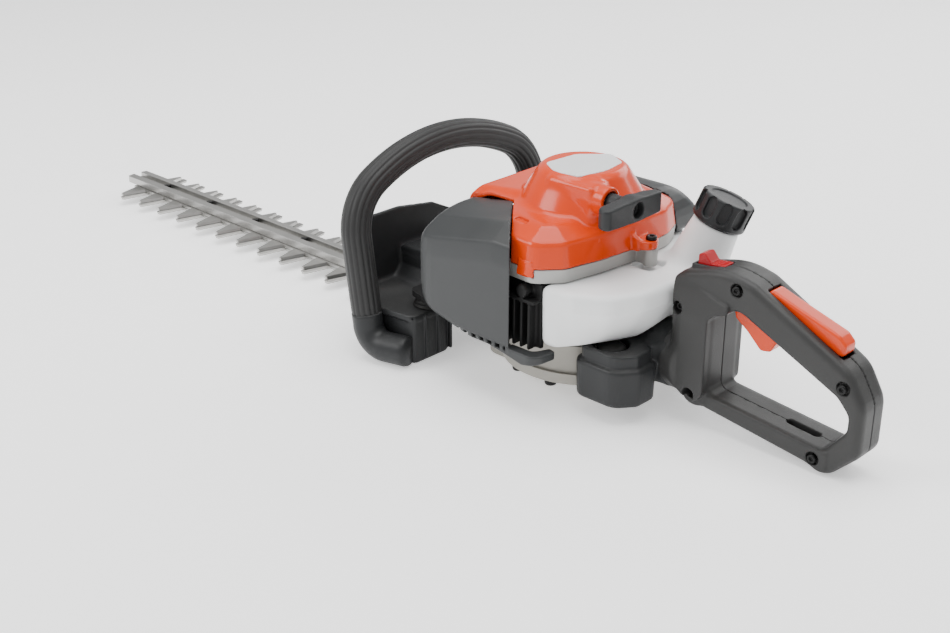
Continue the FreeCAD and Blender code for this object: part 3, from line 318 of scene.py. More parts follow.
def starter_cover(p):
    """Orange cover over the rope pulley, with its screw ear, locking tab and rope bore."""
    x, y, z = p.T
    body = cover_body(p)
    body = soft_max(body, -body - 3.0, 0.5)
    ear = both(1.5, inside_of(EAR_PLAN, x, y), between(z, BAND_HIGH + 2, BAND_HIGH + 9))
    rib = both(1.5, between(x, 42, 58), between(y, -6, -1), (z - 134 - 0.5 * (58 - x)) * 0.9)
    body = soft_min(body, soft_min(ear, rib, 1.5), 2)
    tab = both(0.8, between(x, 8, 22), between(y, -100, -88), between(z, BAND_HIGH - 6, BAND_HIGH + 6))
    tab = soft_max(tab, inside_of(BAND, x, y) - 0.3, 0.5)
    body = np.minimum(body, tab)
    tab_drop = np.where((x > 7) & (x < 23) & (y < -80), 7.0, 0.0)
    body = soft_max(body, BAND_HIGH + 0.5 - z - tab_drop, 0.4)
    body = soft_max(body, seam_side(p) + 0.35, 0.6)
    body = cut_from(body, along_rope(p, 8.4, 40, 64))
    body = cut_from(body, along_rope(p, 2.6, -20, 60, 0.3))
    return cut_from(body, both(0.5, inside_of(DIMPLE_PLAN, x, y), 151.4 - z), 0.6)


def fan_band(p):
    """Metal band under the cover, with the screw post and a notch for the cover's tab."""
    x, y, z = p.T
    plan = inside_of(BAND, x, y)
    ring = both(1.0, plan + 0.1 * (BAND_HIGH - z), between(z, BAND_LOW, BAND_HIGH), -plan - 7)
    post = cylinder(p, (EAR_X, EAR_Y, 0), (0, 0, 1), 5.6, BAND_LOW - 1, BAND_HIGH + 2)
    arm = both(1.0, between(x, 46, EAR_X), between(y - EAR_Y, -5, 5), between(z, BAND_LOW, BAND_HIGH))
    ring = soft_min(ring, soft_min(post, arm, 2), 1)
    tab = both(0.3, between(x, 7, 23), between(y, -100, -70), BAND_HIGH - 6.6 - z)
    ring = cut_from(ring, tab, 0.5)
    return cut_from(ring, cylinder(p, (EAR_X, EAR_Y, 0), (0, 0, 1), 2.1, 0, 200, 0.3))


SHROUD_SIDE = rounded([(-103, 66, 34), (-103, 116, 40), (-89, 146, 14), (-12, 156.5, 60), (60, 160), (60, 51),
                       (-36, 51, 30)])
SHROUD_END = rounded([(-105, 20), (-105, 124, 20), (-101, 141, 7), (-84, 154, 7), (-30, 158.5), (-30, 20)])
SHROUD_PLAN = rounded([(-103, -105.5, 24), (-20, -105.5), (60, -105.5), (60, -30), (-103, -30)])


RAIL_PLAN = rounded([(-44, -99, 3), (-24, -104, 6), (37, -104, 10), (40, -82, 4), (32, -80, 3), (26, -94, 6),
                     (-40, -95, 3)])


def shroud_body(p):
    """Outside of the bulging left cover. Its upper crease falls towards the front."""
    x, y, z = p.T
    fall = 0.2 * np.maximum(-12 - x, 0) * np.clip((-44 - y) / 41, 0, 1)
    return both(6, inside_of(SHROUD_SIDE, x, z), inside_of(SHROUD_END, y, z + fall) * 0.97,
                inside_of(SHROUD_PLAN, x, y))


def engine_shroud(p):
    """Bulging left cover, open towards the engine, with vent slots and the rail under the tank."""
    x, y, z = p.T
    body = hollowed(shroud_body(p), COVER_WALL)
    body = cut_from(body, both(1, between(x, -86, 60), -46 - y, between(z, 40, 150)))
    body = soft_max(body, -(seam_side(p) - 0.35), 0.5)
    body = soft_max(body, y + 44.4, 0.5)
    rail = both(1.5, inside_of(RAIL_PLAN, x, y), z - 56, (46 - z + 0.2 * np.abs(x - 22)) * 0.95)
    body = soft_min(body, rail, 2)
    slots = both(0.8, between((x + 60) % 9, 0, 5), between(x, -50, 5), between(z, 53, 56.5), y + 90)
    exhaust = cylinder(p, (-105, -72, 86), (1, 0, 0), 9, 0, 30)
    return cut_from(cut_from(body, slots), exhaust)


def recess_panel(p):
    """Ribbed wall between the left cover's edge and the tank, near-black as painted shade of that gap."""
    x, y, z = p.T
    wall = block(p, (-14, -87, 56), (28, -83, BAND_LOW - 1), 1)
    ribs = both(0.8, between((x + 4) % 8, 0, 2.6), between(x, -6, 27), between(y, -95, -84),
                between(z, 56, 98))
    shelf = block(p, (-2, -96, 96), (28, -84, 99), 1)
    boss = cylinder(p, (14, -96, 105), (0, 1, 0), 5.5, 0, 12)
    return soft_min(soft_min(wall, ribs, 1), soft_min(shelf, boss, 1), 1)


FILTER_SIDE = rounded([(-86, 62, 14), (-86, 150, 30), (37, 152, 26), (40, 113, 6), (25, 113, 4), (25, 84, 6),
                       (-4, 84, 6), (-14, 62, 8)])
FILTER_END = rounded([(20, 20), (105, 20), (105, 128, 24), (86, 152, 20), (20, 152)])


def filter_cover(p):
    """Right cover over the air filter, with vents and the hole for its knob screw."""
    x, y, z = p.T
    body = hollowed(both(7, inside_of(FILTER_SIDE, x, z), inside_of(FILTER_END, y, z)), COVER_WALL)
    body = soft_max(body, 50 - y, 0.4)
    body = cut_from(body, both(0.5, cover_body(p) - 0.5, BAND_LOW - 0.6 - z))
    vents = both(0.8, between((x + 80) % 10, 0, 4), between(x, -70, -10), between(z, 96, 118), 100 - y)
    return cut_from(cut_from(body, vents), across(p, -30, 82, 3.4, 80, 120))


# ---- fuel tank and cap ----
TANK_FOOT = rounded([(27, -88, 7), (42, -88, 12), (54, -70, 20), (68, -42, 20), (80, -14, 14), (80, 14, 14),
                     (68, 42, 20), (54, 70, 20), (42, 88, 12), (27, 88, 7)])
TANK_BROW = rounded([(27, -90, 7), (58, -86, 16), (84, -72, 22), (97, -44, 30), (100, -12, 30), (100, 12, 30),
                     (97, 44, 30), (84, 72, 22), (58, 86, 16), (27, 90, 7)])
TANK_INSIDE = rounded([(0, -54), (27, -54, 7), (50, -44, 10), (56, -14, 10), (56, 14, 10), (50, 44, 10),
                       (27, 54, 7), (0, 54)])
POST_POCKET = rounded([(50, -6, 4), (72, -6, 4), (72, 16, 4), (50, 16, 4)])


def fuel_tank(p):
    """Tank wrapped round the back of the engine. It flares upwards and carries the filler neck."""
    x, y, z = p.T
    rise = np.clip((z - 60) / 36, 0, 1)
    plan = inside_of(TANK_FOOT, x, y) * (1 - rise) + inside_of(TANK_BROW, x, y) * rise
    body = both(7, plan * 0.85, between(z, 60, 111.4))
    lip = 11 * np.clip((z - 96) / 11, 0, 1)
    body = cut_from(body, (inside_of(TANK_INSIDE, x, y) + lip) * 0.7, 2)
    offset = p - CAP_SEAT
    along = offset @ CAP_AXIS
    away = np.sqrt(np.maximum((offset ** 2).sum(1) - along ** 2, 0))
    neck = both(1.5, (away - 19.5 + 0.12 * along) * 0.98, between(along, -46, 0))
    neck = soft_max(neck, 80 - z, 2)
    body = soft_min(body, neck, 9)
    body = cut_from(body, along_neck(p, 27.5, 20, 140), 4)
    body = cut_from(body, both(0.5, away - 16.4, -34 - along), 1.0)
    return cut_from(body, both(1, inside_of(POST_POCKET, x, y), 107.5 - z), 1.5)


CAP_GRIPS = 10


def fuel_cap(p):
    """Screw cap with finger grooves round its side and a skirt inside the neck."""
    offset = p - CAP_SEAT
    along = offset @ CAP_AXIS
    side = np.cross(CAP_AXIS, (1, 0, 0))
    side /= np.linalg.norm(side)
    other = np.cross(CAP_AXIS, side)
    a, b = offset @ side, offset @ other
    away = np.hypot(a, b)
    body = both(2.5, away - 22.4, between(along, 1.4, 24))
    body = soft_min(body, both(1, away - 21, between(along, 1.3, 6)), 0.6)
    sector = 2 * math.pi / CAP_GRIPS
    turn = (np.arctan2(b, a) + sector / 2) % sector - sector / 2
    ca, cb = away * np.cos(turn), away * np.sin(turn)
    recess = np.hypot(cb, np.maximum(np.abs(along - 14.5) - 4.5, 0)) - 4.3
    recess = both(1, recess, 19.2 - ca)
    body = cut_from(body, recess, 1.0)
    body = cut_from(body, both(1, away - 15, 22.6 - along), 1.0)
    skirt = both(0.6, away - 15.6, between(along, -8, 4), 13 - away)
    return np.minimum(body, skirt)


# ---- rear handle ----
HANDLE = rounded([(102, 125, 16), (150, 138, 60), (174, 132.5, 30), (259.5, 88.3, 26), (273.8, 64, 24),
                  (273.8, 24, 12), (247, -2.7, 14), (234, 4.0, 30), (128, 18.5, 14), (107, 46, 24)])
OPENING = rounded([(141, 101, 8), (164, 108, 14), (251, 66.5, 16), (261.5, 55, 10), (261.5, 42, 10),
                   (245, 20.5, 8), (141, 31, 8)])
HANDLE_SCREWS = [(161, 125), (256, 76), (238, 12), (112, 98)]
HANDLE_BOSS = (128, 29)                 # joint at the foot of the handle, as x and z
SCREW_FLOOR = -14.4                     # bottom of the screw holes in the left half
PILLAR = rounded([(104, 124, 4), (168, 108, 4), (146, 101, 6), (141, 96, 6), (141, 33, 6), (132, 20, 10),
                  (110, 34, 10)])
BAR_SLOT = rounded([(204, -3.6, 3.5), (233, -3.6, 3.5), (233, 3.6, 3.5), (204, 3.6, 3.5)])
LEVER_HALF = 7.6
LEVER_HUB = (186, 121)


def lever_pocket(p):
    """Recess for the lockout lever, sloping down towards the back of the handle."""
    a = math.radians(24)
    x, y, z = p[:, 0] - 178, p[:, 1], p[:, 2] - 129.5
    along = x * math.cos(a) - z * math.sin(a)
    up = x * math.sin(a) + z * math.cos(a)
    return both(0.8, between(along, 3.5, 79), np.abs(y) - LEVER_HALF - 0.7, -15 - up)


def rear_handle(p):
    """Whole rear handle: bar, pillar, tube socket and bezel, with the cuts for controls and screws."""
    x, y, z = p.T
    wide = np.abs(y)
    half = 18.9 - np.clip((x - 150) / 120, 0, 1) * 1.5
    bar = both(7, inside_of(HANDLE, x, z), wide - half)
    bar = cut_from(bar, inside_of(OPENING, x, z), 5)
    lower_bar = both(2, between(x, 139, 250), z - 29 + 0.09 * (x - 150), inside_of(HANDLE, x, z) + 2.5,
                     wide - 18.7)
    bar = soft_min(bar, lower_bar, 1.5)
    bar = soft_min(bar, across(p, *HANDLE_BOSS, 11.5, -19, 19, 2.5), 4)
    pillar = both(2.0, inside_of(PILLAR, x, z), wide - 26, (wide + 0.34 * (z - 98) - 26) * 0.94,
                  (wide + 0.5 * (112 - x) - 25) * 0.9)
    body = soft_min(bar, pillar, 2.0)
    body = soft_min(body, along_neck(p, 27.5, 98, 112, 3), 6)
    bezel = both(0.8, between(x, 112.5, 144.5), wide - 9.0, (z - 132.6 - 0.09 * (x - 128)) * 0.99, 120 - z)
    body = soft_min(body, bezel, 0.8)
    body = cut_from(body, both(0.5, between(x, 115, 142), wide - 6.8, 118 - z), 0.5)
    body = cut_from(body, both(0.8, between(x, 146, 201), wide - 7.3, between(z, 86, 122)), 0.6)
    body = cut_from(body, lever_pocket(p), 0.6)
    for place in HANDLE_SCREWS:
        body = cut_from(body, across(p, *place, 5.2, -40, SCREW_FLOOR), 0.8)
    body = cut_from(body, across(p, *HANDLE_BOSS, 5.5, -40, -8), 0.8)
    body = cut_from(body, both(0.5, inside_of(BAR_SLOT, x, y), between(z, 12, 40)), 0.8)
    return cut_from(body, along_neck(p, 20.1, 90, 111.3))


def half_handle(p, past_middle):
    """One half of the handle: a fine shut line inside the loop, an eased seam outside it."""
    body = rear_handle(p)
    in_loop = inside_of(OPENING, p[:, 0], p[:, 2]) < 7
    return np.where(in_loop, np.maximum(body, past_middle + 0.04), soft_max(body, past_middle + 0.28, 0.5))


def handle_left(p):
    return half_handle(p, p[:, 1])


def handle_right(p):
    return half_handle(p, -p[:, 1])


def plate(points, half, k):
    """A field for an upright plate: an outline in x and z with rounded faces at each side."""
    polygon = rounded(points)
    return lambda p: both(k, inside_of(polygon, p[:, 0], p[:, 2]), np.abs(p[:, 1]) - half)


def drilled(field, x, z, radius):
    """The field with a pin hole through it, across the machine."""
    return lambda p: cut_from(field(p), across(p, x, z, radius, -30, 30, 0.2), 0.3)


LEVER = [(181, 126, 2), (184, 128.6, 3), (205, 121.8, 40), (243, 110, 9), (249.5, 103.8, 5), (248.5, 92, 4),
         (243, 95, 4), (181, 121.5, 2)]
TRIGGER = [(152, 104, 3), (154, 119, 4), (167, 119, 4), (197, 97, 3), (193, 90, 5), (186.5, 78, 4),
           (178, 76.5, 4), (166, 88, 16), (154, 97, 4)]
SWITCH = [(116.5, 126, 1), (140, 126, 1), (141, 135.5, 1), (128, 134.2, 2.5), (122, 141, 1.8),
          (116.5, 139, 1.8)]


def lockout_lever(p):
    body = plate(LEVER, LEVER_HALF, 2.4)(p)
    hub = across(p, *LEVER_HUB, 4.5, -LEVER_HALF, LEVER_HALF)
    return cut_from(soft_min(body, hub, 1), across(p, *LEVER_HUB, 2.05, -30, 30, 0.2), 0.3)


def stop_switch(p):
    """Rocker with a grooved rear half."""
    body = drilled(plate(SWITCH, 6.2, 0.9), 128, 126, 1.6)(p)
    x, z = p[:, 0], p[:, 2]
    grooves = both(0.3, between((x - 128) % 3.2, 0, 1.3), between(x, 128, 139.5), 133.9 + 0.1 * (x - 128) - z)
    return cut_from(body, grooves, 0.4)


# ---- starter grip ----
GRIP_PLAN = rounded([(60, -66, 8), (73.8, -66, 5), (73.8, 2, 3), (65, 2, 3), (61, -10, 20), (61, -46, 20)])


def starter_grip(p):
    """T-shaped pull grip, lower towards its ends, with a knot recess and a rope hole."""
    x, y, z = p.T
    tall = np.abs(z - ROPE_Z) - 9.4 + 0.0009 * (y - ROPE_Y) ** 2
    body = both(2.6, inside_of(GRIP_PLAN, x, y), tall)
    body = soft_min(body, along_rope(p, 7.2, 44.8, 68, 1.5), 7)
    body = cut_from(body, along_rope(p, 6.4, 67, 90), 1.0)
    return cut_from(body, along_rope(p, 1.95, 30, 90, 0.2), 0.3)


# ---- chassis, guard ----
ARM_PLAN = rounded([(52, -44), (74, -50, 8), (103, -16, 6), (103, 4), (66, 4)])
FOOT_PLAN = rounded([(42, -69, 12), (88, -69, 16), (101, -52, 8), (101, -30, 8), (60, -8), (50, -20)])


def chassis(p):
    """Bracket that carries the rear handle's tube, with a foot and a damper seat on each side."""
    x, y, z = p.T
    q = np.stack([x, -np.abs(y), z], 1)
    neck = along_neck(q, 25.5, 70, 103.4, 2)
    flare = both(2, np.hypot(y, z - NECK_Z) - 25.5 - np.clip(x - 94, 0, 20) * 0.22, between(x, 84, 103.4))
    arm = both(4, inside_of(ARM_PLAN, q[:, 0], q[:, 1]), between(z, 28, 60))
    foot_plan = inside_of(FOOT_PLAN, q[:, 0], q[:, 1])
    foot = both(4, foot_plan + 0.03 * (40 - z), between(z, 16, 49))
    upper = both(2, foot_plan + 4.0, between(z, 30, 60))
    body = soft_min(soft_min(neck, flare, 3), arm, 7)
    body = soft_min(soft_min(body, foot, 3), upper, 2)
    seat = cylinder(q, (DAMPER_X, DAMPER_Y, 0), (0, 0, 1), 14.6, 42, 80)
    body = cut_from(body, seat, 1.2)
    angle = math.atan2(DAMPER_Y, DAMPER_X)
    along = q[:, 0] * math.cos(angle) + q[:, 1] * math.sin(angle)
    across = -q[:, 0] * math.sin(angle) + q[:, 1] * math.cos(angle)
    body = cut_from(body, both(0.5, between(along, 55, 82), np.abs(across) - 9.6, 42.3 - z), 0.6)
    body = cut_from(body, np.hypot(x, y) - CLUTCH_CASE, 0.8)
    return cut_from(body, along_neck(p, 16, 40, 130), 1.0)


SHELF_PLAN = rounded([(-188, -90, 12), (-150, -104, 10), (-107, -98, 8), (-107, 98, 8), (-150, 104, 10),
                      (-188, 90, 12)])
BLOCK_PLAN = rounded([(-188, -84, 12), (-150, -99, 14), (-107, -98, 5), (-107, -52, 10), (-188, -44, 10)])


def shield_top(y):
    """Height of the hand shield: level on the left, falling towards the right."""
    return (105 - 0.147 * np.clip(y + 28, 0, 42) - 0.5 * np.maximum(y - 14, 0)
            - 0.04 * np.maximum(-y - 62, 0) ** 1.6)


def guard(p):
    """Hand shield, shelf, hollow ribbed blocks at the sides and the bridge over the gear case."""
    x, y, z = p.T
    wide = np.abs(y)
    lean_x = x + 184 + math.tan(LOOP_LEAN) * (z - 30)
    bridge_slope = 0.08 * (x + 140)
    shield = both(4, wide - 88, z - shield_top(y), 26 - z)
    shield = both(1.4, shield, between(lean_x, -4.5, 0))
    shelf = both(2, inside_of(SHELF_PLAN, x, y), between(z, 39, 45))
    block_plan = inside_of(BLOCK_PLAN, x, -wide)
    feet = both(2, block_plan, between(z, 0, 43))
    hollow = both(2, block_plan + 4, between(z, 4, 39))
    feet = cut_from(feet, hollow, 1.0)
    ribs = both(1, between(x, -110, -105), between((wide - 52) % 15, 0, 3), between(wide, 52, 97),
                between(z, 2, 43))
    feet = soft_min(feet, ribs, 1)
    bridge = both(3, wide - 35, z - 76 - bridge_slope, 30 - z, between(x, -188, -98))
    skirt = both(3, (wide - 35 - 0.9 * np.maximum(56 - z, 0)) * 0.8, z - 66, 42 - z, between(x, -188, -128))
    body = soft_min(shield, shelf, 5)
    body = soft_min(body, soft_min(bridge, skirt, 2), 4)
    body = soft_min(body, feet, 1.5)
    tunnel = both(1, wide - 31, z - 72 - bridge_slope, between(x, -182, -60))
    body = cut_from(body, tunnel, 1)
    body = cut_from(body, both(1, wide - 32, z - 47, between(x, -260, -60)), 1)
    leg = np.hypot(wide - LOOP_HALF, x - LOOP_X + math.tan(LOOP_LEAN) * z) - 12.0
    body = cut_from(body, both(1, leg, 44 - z), 1)
    return soft_max(body, 0.05 - z, 0.8)


# ---- swept and turned shapes ----
def ring_faces(rings, around):
    """Quads between rings of points that follow one another."""
    faces = []
    for i in range(rings - 1):
        for j in range(around):
            a, b = i * around + j, i * around + (j + 1) % around
            faces.append((a, b, b + around, a + around))
    return faces


def closed_faces(rings, around):
    """Quads between the rings, and a flat face over each end."""
    ends = [tuple(range(around))[::-1], tuple((rings - 1) * around + j for j in range(around))]
    return ring_faces(rings, around) + ends


def sweep(path, radii, around, section=None):
    """Tube along the path. section(turn) scales the radius round the tube."""
    path = np.asarray(path, float)
    tangents = np.gradient(path, axis=0)
    tangents /= np.linalg.norm(tangents, axis=1)[:, None]
    normal = np.cross(tangents[0], (0.0, 1.0, 0.0))
    if np.linalg.norm(normal) < 0.1:
        normal = np.cross(tangents[0], (1.0, 0.0, 0.0))
    points = []
    for radius, centre, tangent in zip(radii, path, tangents):
        normal = normal - tangent * (normal @ tangent)
        normal /= np.linalg.norm(normal)
        other = np.cross(tangent, normal)
        for j in range(around):
            turn = 2 * math.pi * j / around
            size = radius * (section(turn) if section else 1.0)
            points.append(centre + size * (math.cos(turn) * normal + math.sin(turn) * other))
    return np.array(points), closed_faces(len(path), around)


def arch_path(foot):
    """The front handle's centreline from leg to leg."""
    small = 50.0
    rise, half = LOOP_RISE, LOOP_HALF
    large = ((half - small) ** 2 + rise ** 2 - small ** 2) / (2 * (rise - small))
    low = LOOP_SPRING + rise - large
    joint = math.atan2(half - small, LOOP_SPRING - low)
    flat_path = [(-half, z) for z in np.linspace(foot, LOOP_SPRING, 24, endpoint=False)]
    for a in np.linspace(math.pi / 2, joint, 26, endpoint=False):
        flat_path.append((-(half - small) - small * math.sin(a), LOOP_SPRING + small * math.cos(a)))
    for a in np.linspace(-joint, joint, 60, endpoint=False):
        flat_path.append((large * math.sin(a), low + large * math.cos(a)))
    for a in np.linspace(joint, math.pi / 2, 26, endpoint=False):
        flat_path.append((half - small + small * math.sin(a), LOOP_SPRING + small * math.cos(a)))
    flat_path += [(half, z) for z in np.linspace(LOOP_SPRING, foot, 24)]
    flat_path = np.array(flat_path)
    x = LOOP_X - math.sin(LOOP_LEAN) * flat_path[:, 1]
    return np.stack([x, flat_path[:, 0], math.cos(LOOP_LEAN) * flat_path[:, 1]], 1)


def rib_section(turn):
    """Lengthwise grooves on the half of the grip that faces the operator."""
    facing = 0.5 - 0.5 * math.cos(turn - math.radians(20))
    return 1 - 0.055 * (0.5 + 0.5 * math.cos(turn * 16)) ** 2 * min(1.0, facing * 1.6)


def front_grip():
    path = arch_path(38.0)
    ends = np.minimum(np.arange(len(path)), np.arange(len(path))[::-1])
    radii = 13.2 - 1.2 * np.exp(-ends / 0.8)
    return mesh_object("front_grip_ribbed", *sweep(path, radii, 160, rib_section))


def elbow(side):
    """Smooth corner piece from the grip's end back to the guard."""
    lean = math.tan(LOOP_LEAN)
    leg = [(LOOP_X - lean * z, side * LOOP_HALF, z) for z in np.linspace(41, 32, 5)]
    bend = 18.5
    turn_x = LOOP_X - lean * 32
    inward = 2.2                        # how far the bend leans towards the middle
    curve = []
    for a in np.linspace(0.1, math.pi / 2, 16):
        done = 1 - math.cos(a)
        curve.append((turn_x + bend * done, side * (LOOP_HALF - inward * done), 32 - bend * math.sin(a)))
    tail = [(turn_x + bend + d, side * (LOOP_HALF - inward - 0.28 * d), 13.5) for d in np.linspace(2, 24, 8)]
    path = np.array(leg + curve + tail)
    radii = np.full(len(path), 13.3)
    radii[-1] = 12.2
    points, faces = sweep(path, radii, 48)
    name = "front_handle_elbow_left" if side < 0 else "front_handle_elbow_right"
    return mesh_object(name, points, faces)


def turned_points(profile, segments, x=0.0, y=0.0):
    """Rings of points about an upright axis, from (radius, height) points."""
    turns = np.arange(segments) * 2 * math.pi / segments
    return [(x + r * math.cos(a), y + r * math.sin(a), z) for r, z in profile for a in turns]


def turned_part(name, profile, centre):
    """Closed solid of revolution."""
    segments = 48
    points = turned_points(profile, segments, *centre)
    return mesh_object(name, points, closed_faces(len(profile), segments))


def bellows_profile(low, high, radius, folds):
    """Outline of a rubber damper whose folds get smaller upwards."""
    profile = [(radius * 0.9, low)]
    for n in range(folds):
        base = low + (high - low) * n / folds
        size = radius * (1 - 0.12 * n)
        for share, swell in ((0.15, 0.97), (0.35, 1.0), (0.55, 0.97), (0.8, 0.84)):
            profile.append((size * swell, base + (high - low) / folds * share))
    profile.append((radius * 0.5, high))
    return profile


# ---- materials ----
def group_input(tree, name, kind, default):
    socket = tree.interface.new_socket(name, in_out="INPUT", socket_type=kind)
    socket.default_value = default
    return socket


def wear_group():
    """Masks and a bump height that every material shares: mottle, dust on upward faces and moulded grain."""
    tree = bpy.data.node_groups.new("surface_effects", "ShaderNodeTree")
    group_input(tree, "Grain Scale", "NodeSocketFloat", 900.0)
    group_input(tree, "Grain Height", "NodeSocketFloat", 0.3)
    sockets = {"Mottle": "NodeSocketFloat", "Dust": "NodeSocketFloat", "Normal": "NodeSocketVector"}
    for name, kind in sockets.items():
        tree.interface.new_socket(name, in_out="OUTPUT", socket_type=kind)
    nodes, links = tree.nodes, tree.links
    inputs, outputs = nodes.new("NodeGroupInput"), nodes.new("NodeGroupOutput")
    coords = nodes.new("ShaderNodeTexCoord")
    mottle = noise(tree, coords, 35.0, 4.0)
    patches = noise(tree, coords, 9.0, 6.0)
    grain = nodes.new("ShaderNodeTexNoise")
    grain.inputs["Detail"].default_value = 3.0
    links.new(coords.outputs["Object"], grain.inputs["Vector"])
    links.new(inputs.outputs["Grain Scale"], grain.inputs["Scale"])
    bump = nodes.new("ShaderNodeBump")
    bump.inputs["Distance"].default_value = 0.0004
    links.new(inputs.outputs["Grain Height"], bump.inputs["Strength"])
    links.new(grain.outputs["Fac"], bump.inputs["Height"])
    geometry = nodes.new("ShaderNodeNewGeometry")
    split = nodes.new("ShaderNodeSeparateXYZ")
    links.new(geometry.outputs["Normal"], split.inputs["Vector"])
    upward = ranged(tree, split.outputs["Z"], 0.2, 1.0)
    dusty = ranged(tree, patches.outputs["Fac"], 0.48, 0.75)
    product = nodes.new("ShaderNodeMath")
    product.operation = "MULTIPLY"
    links.new(upward, product.inputs[0])
    links.new(dusty, product.inputs[1])
    links.new(mottle.outputs["Fac"], outputs.inputs["Mottle"])
    links.new(product.outputs["Value"], outputs.inputs["Dust"])
    links.new(bump.outputs["Normal"], outputs.inputs["Normal"])
    return tree


def noise(tree, coords, scale, detail):
    """Noise texture on the object's own coordinates."""
    node = tree.nodes.new("ShaderNodeTexNoise")
    node.inputs["Scale"].default_value = scale
    node.inputs["Detail"].default_value = detail
    tree.links.new(coords.outputs["Object"], node.inputs["Vector"])
    return node


def ranged(tree, value, low, high):
    """The value mapped from low..high to 0..1."""
    node = tree.nodes.new("ShaderNodeMapRange")
    node.inputs["From Min"].default_value = low
    node.inputs["From Max"].default_value = high
    tree.links.new(value, node.inputs["Value"])
    return node.outputs["Result"]


def mixed(tree, factor, first, second):
    """Colour mix. first and second are colours or output sockets."""
    node = tree.nodes.new("ShaderNodeMix")
    node.data_type = "RGBA"
    for socket, value in ((node.inputs[6], first), (node.inputs[7], second)):
        if isinstance(value, tuple):
            socket.default_value = (*value, 1.0)
        else:
            tree.links.new(value, socket)
    tree.links.new(factor, node.inputs[0])
    return node.outputs[2]


def brushed(tree):
    """Bump of fine scratches that run along the blades."""
    links = tree.links
    coords = tree.nodes.new("ShaderNodeTexCoord")
    stretch = tree.nodes.new("ShaderNodeMapping")
    stretch.inputs["Scale"].default_value = (4.0, 1800.0, 600.0)
    links.new(coords.outputs["Object"], stretch.inputs["Vector"])
    streaks = tree.nodes.new("ShaderNodeTexNoise")
    streaks.inputs["Scale"].default_value = 1.0
    streaks.inputs["Detail"].default_value = 4.0
    links.new(stretch.outputs["Vector"], streaks.inputs["Vector"])
    bump = tree.nodes.new("ShaderNodeBump")
    bump.inputs["Strength"].default_value = 0.25
    bump.inputs["Distance"].default_value = 0.0002
    links.new(streaks.outputs["Fac"], bump.inputs["Height"])
    return bump.outputs["Normal"]


def material(name, colour, rough, metal=0.0, grain=0.3, scale=900.0, vary=0.12, dust=0.06, coat=0.0,
             streaks=False, soft=0.0, see_through=0.0):
    """Principled surface whose colour, roughness and bump all vary a little over the piece."""
    made = bpy.data.materials.new(name)
    made.use_nodes = True
    tree = made.node_tree
    links = tree.links
    shader = tree.nodes["Principled BSDF"]
    effects = tree.nodes.new("ShaderNodeGroup")
    effects.node_tree = EFFECTS
    effects.inputs["Grain Scale"].default_value = scale
    effects.inputs["Grain Height"].default_value = grain
    darker = tuple(c * (1 - vary) for c in colour)
    lighter = tuple(min(1.0, c * (1 + vary)) for c in colour)
    base = mixed(tree, effects.outputs["Mottle"], darker, lighter)
    faded = tree.nodes.new("ShaderNodeMath")
    faded.operation = "MULTIPLY"
    faded.inputs[1].default_value = dust
    links.new(effects.outputs["Dust"], faded.inputs[0])
    dusty = mixed(tree, faded.outputs["Value"], base, (0.45, 0.43, 0.39))
    links.new(dusty, shader.inputs["Base Color"])
    roughness = ranged(tree, effects.outputs["Mottle"], 0.25, 0.75)
    spread = roughness.node
    spread.inputs["To Min"].default_value = max(0.02, rough - 0.05)
    spread.inputs["To Max"].default_value = rough + 0.06
    links.new(roughness, shader.inputs["Roughness"])
    normal = effects.outputs["Normal"]
    if streaks:
        normal = brushed(tree)
    links.new(normal, shader.inputs["Normal"])
    shader.inputs["Metallic"].default_value = metal
    shader.inputs["Specular IOR Level"].default_value = 0.5 if metal > 0.5 else 0.3
    shader.inputs["Coat Weight"].default_value = coat
    shader.inputs["Coat Roughness"].default_value = 0.08
    shader.inputs["Subsurface Weight"].default_value = soft
    shader.inputs["Subsurface Radius"].default_value = (0.01, 0.01, 0.01)
    shader.inputs["Transmission Weight"].default_value = see_through
    return made


EFFECTS = wear_group()
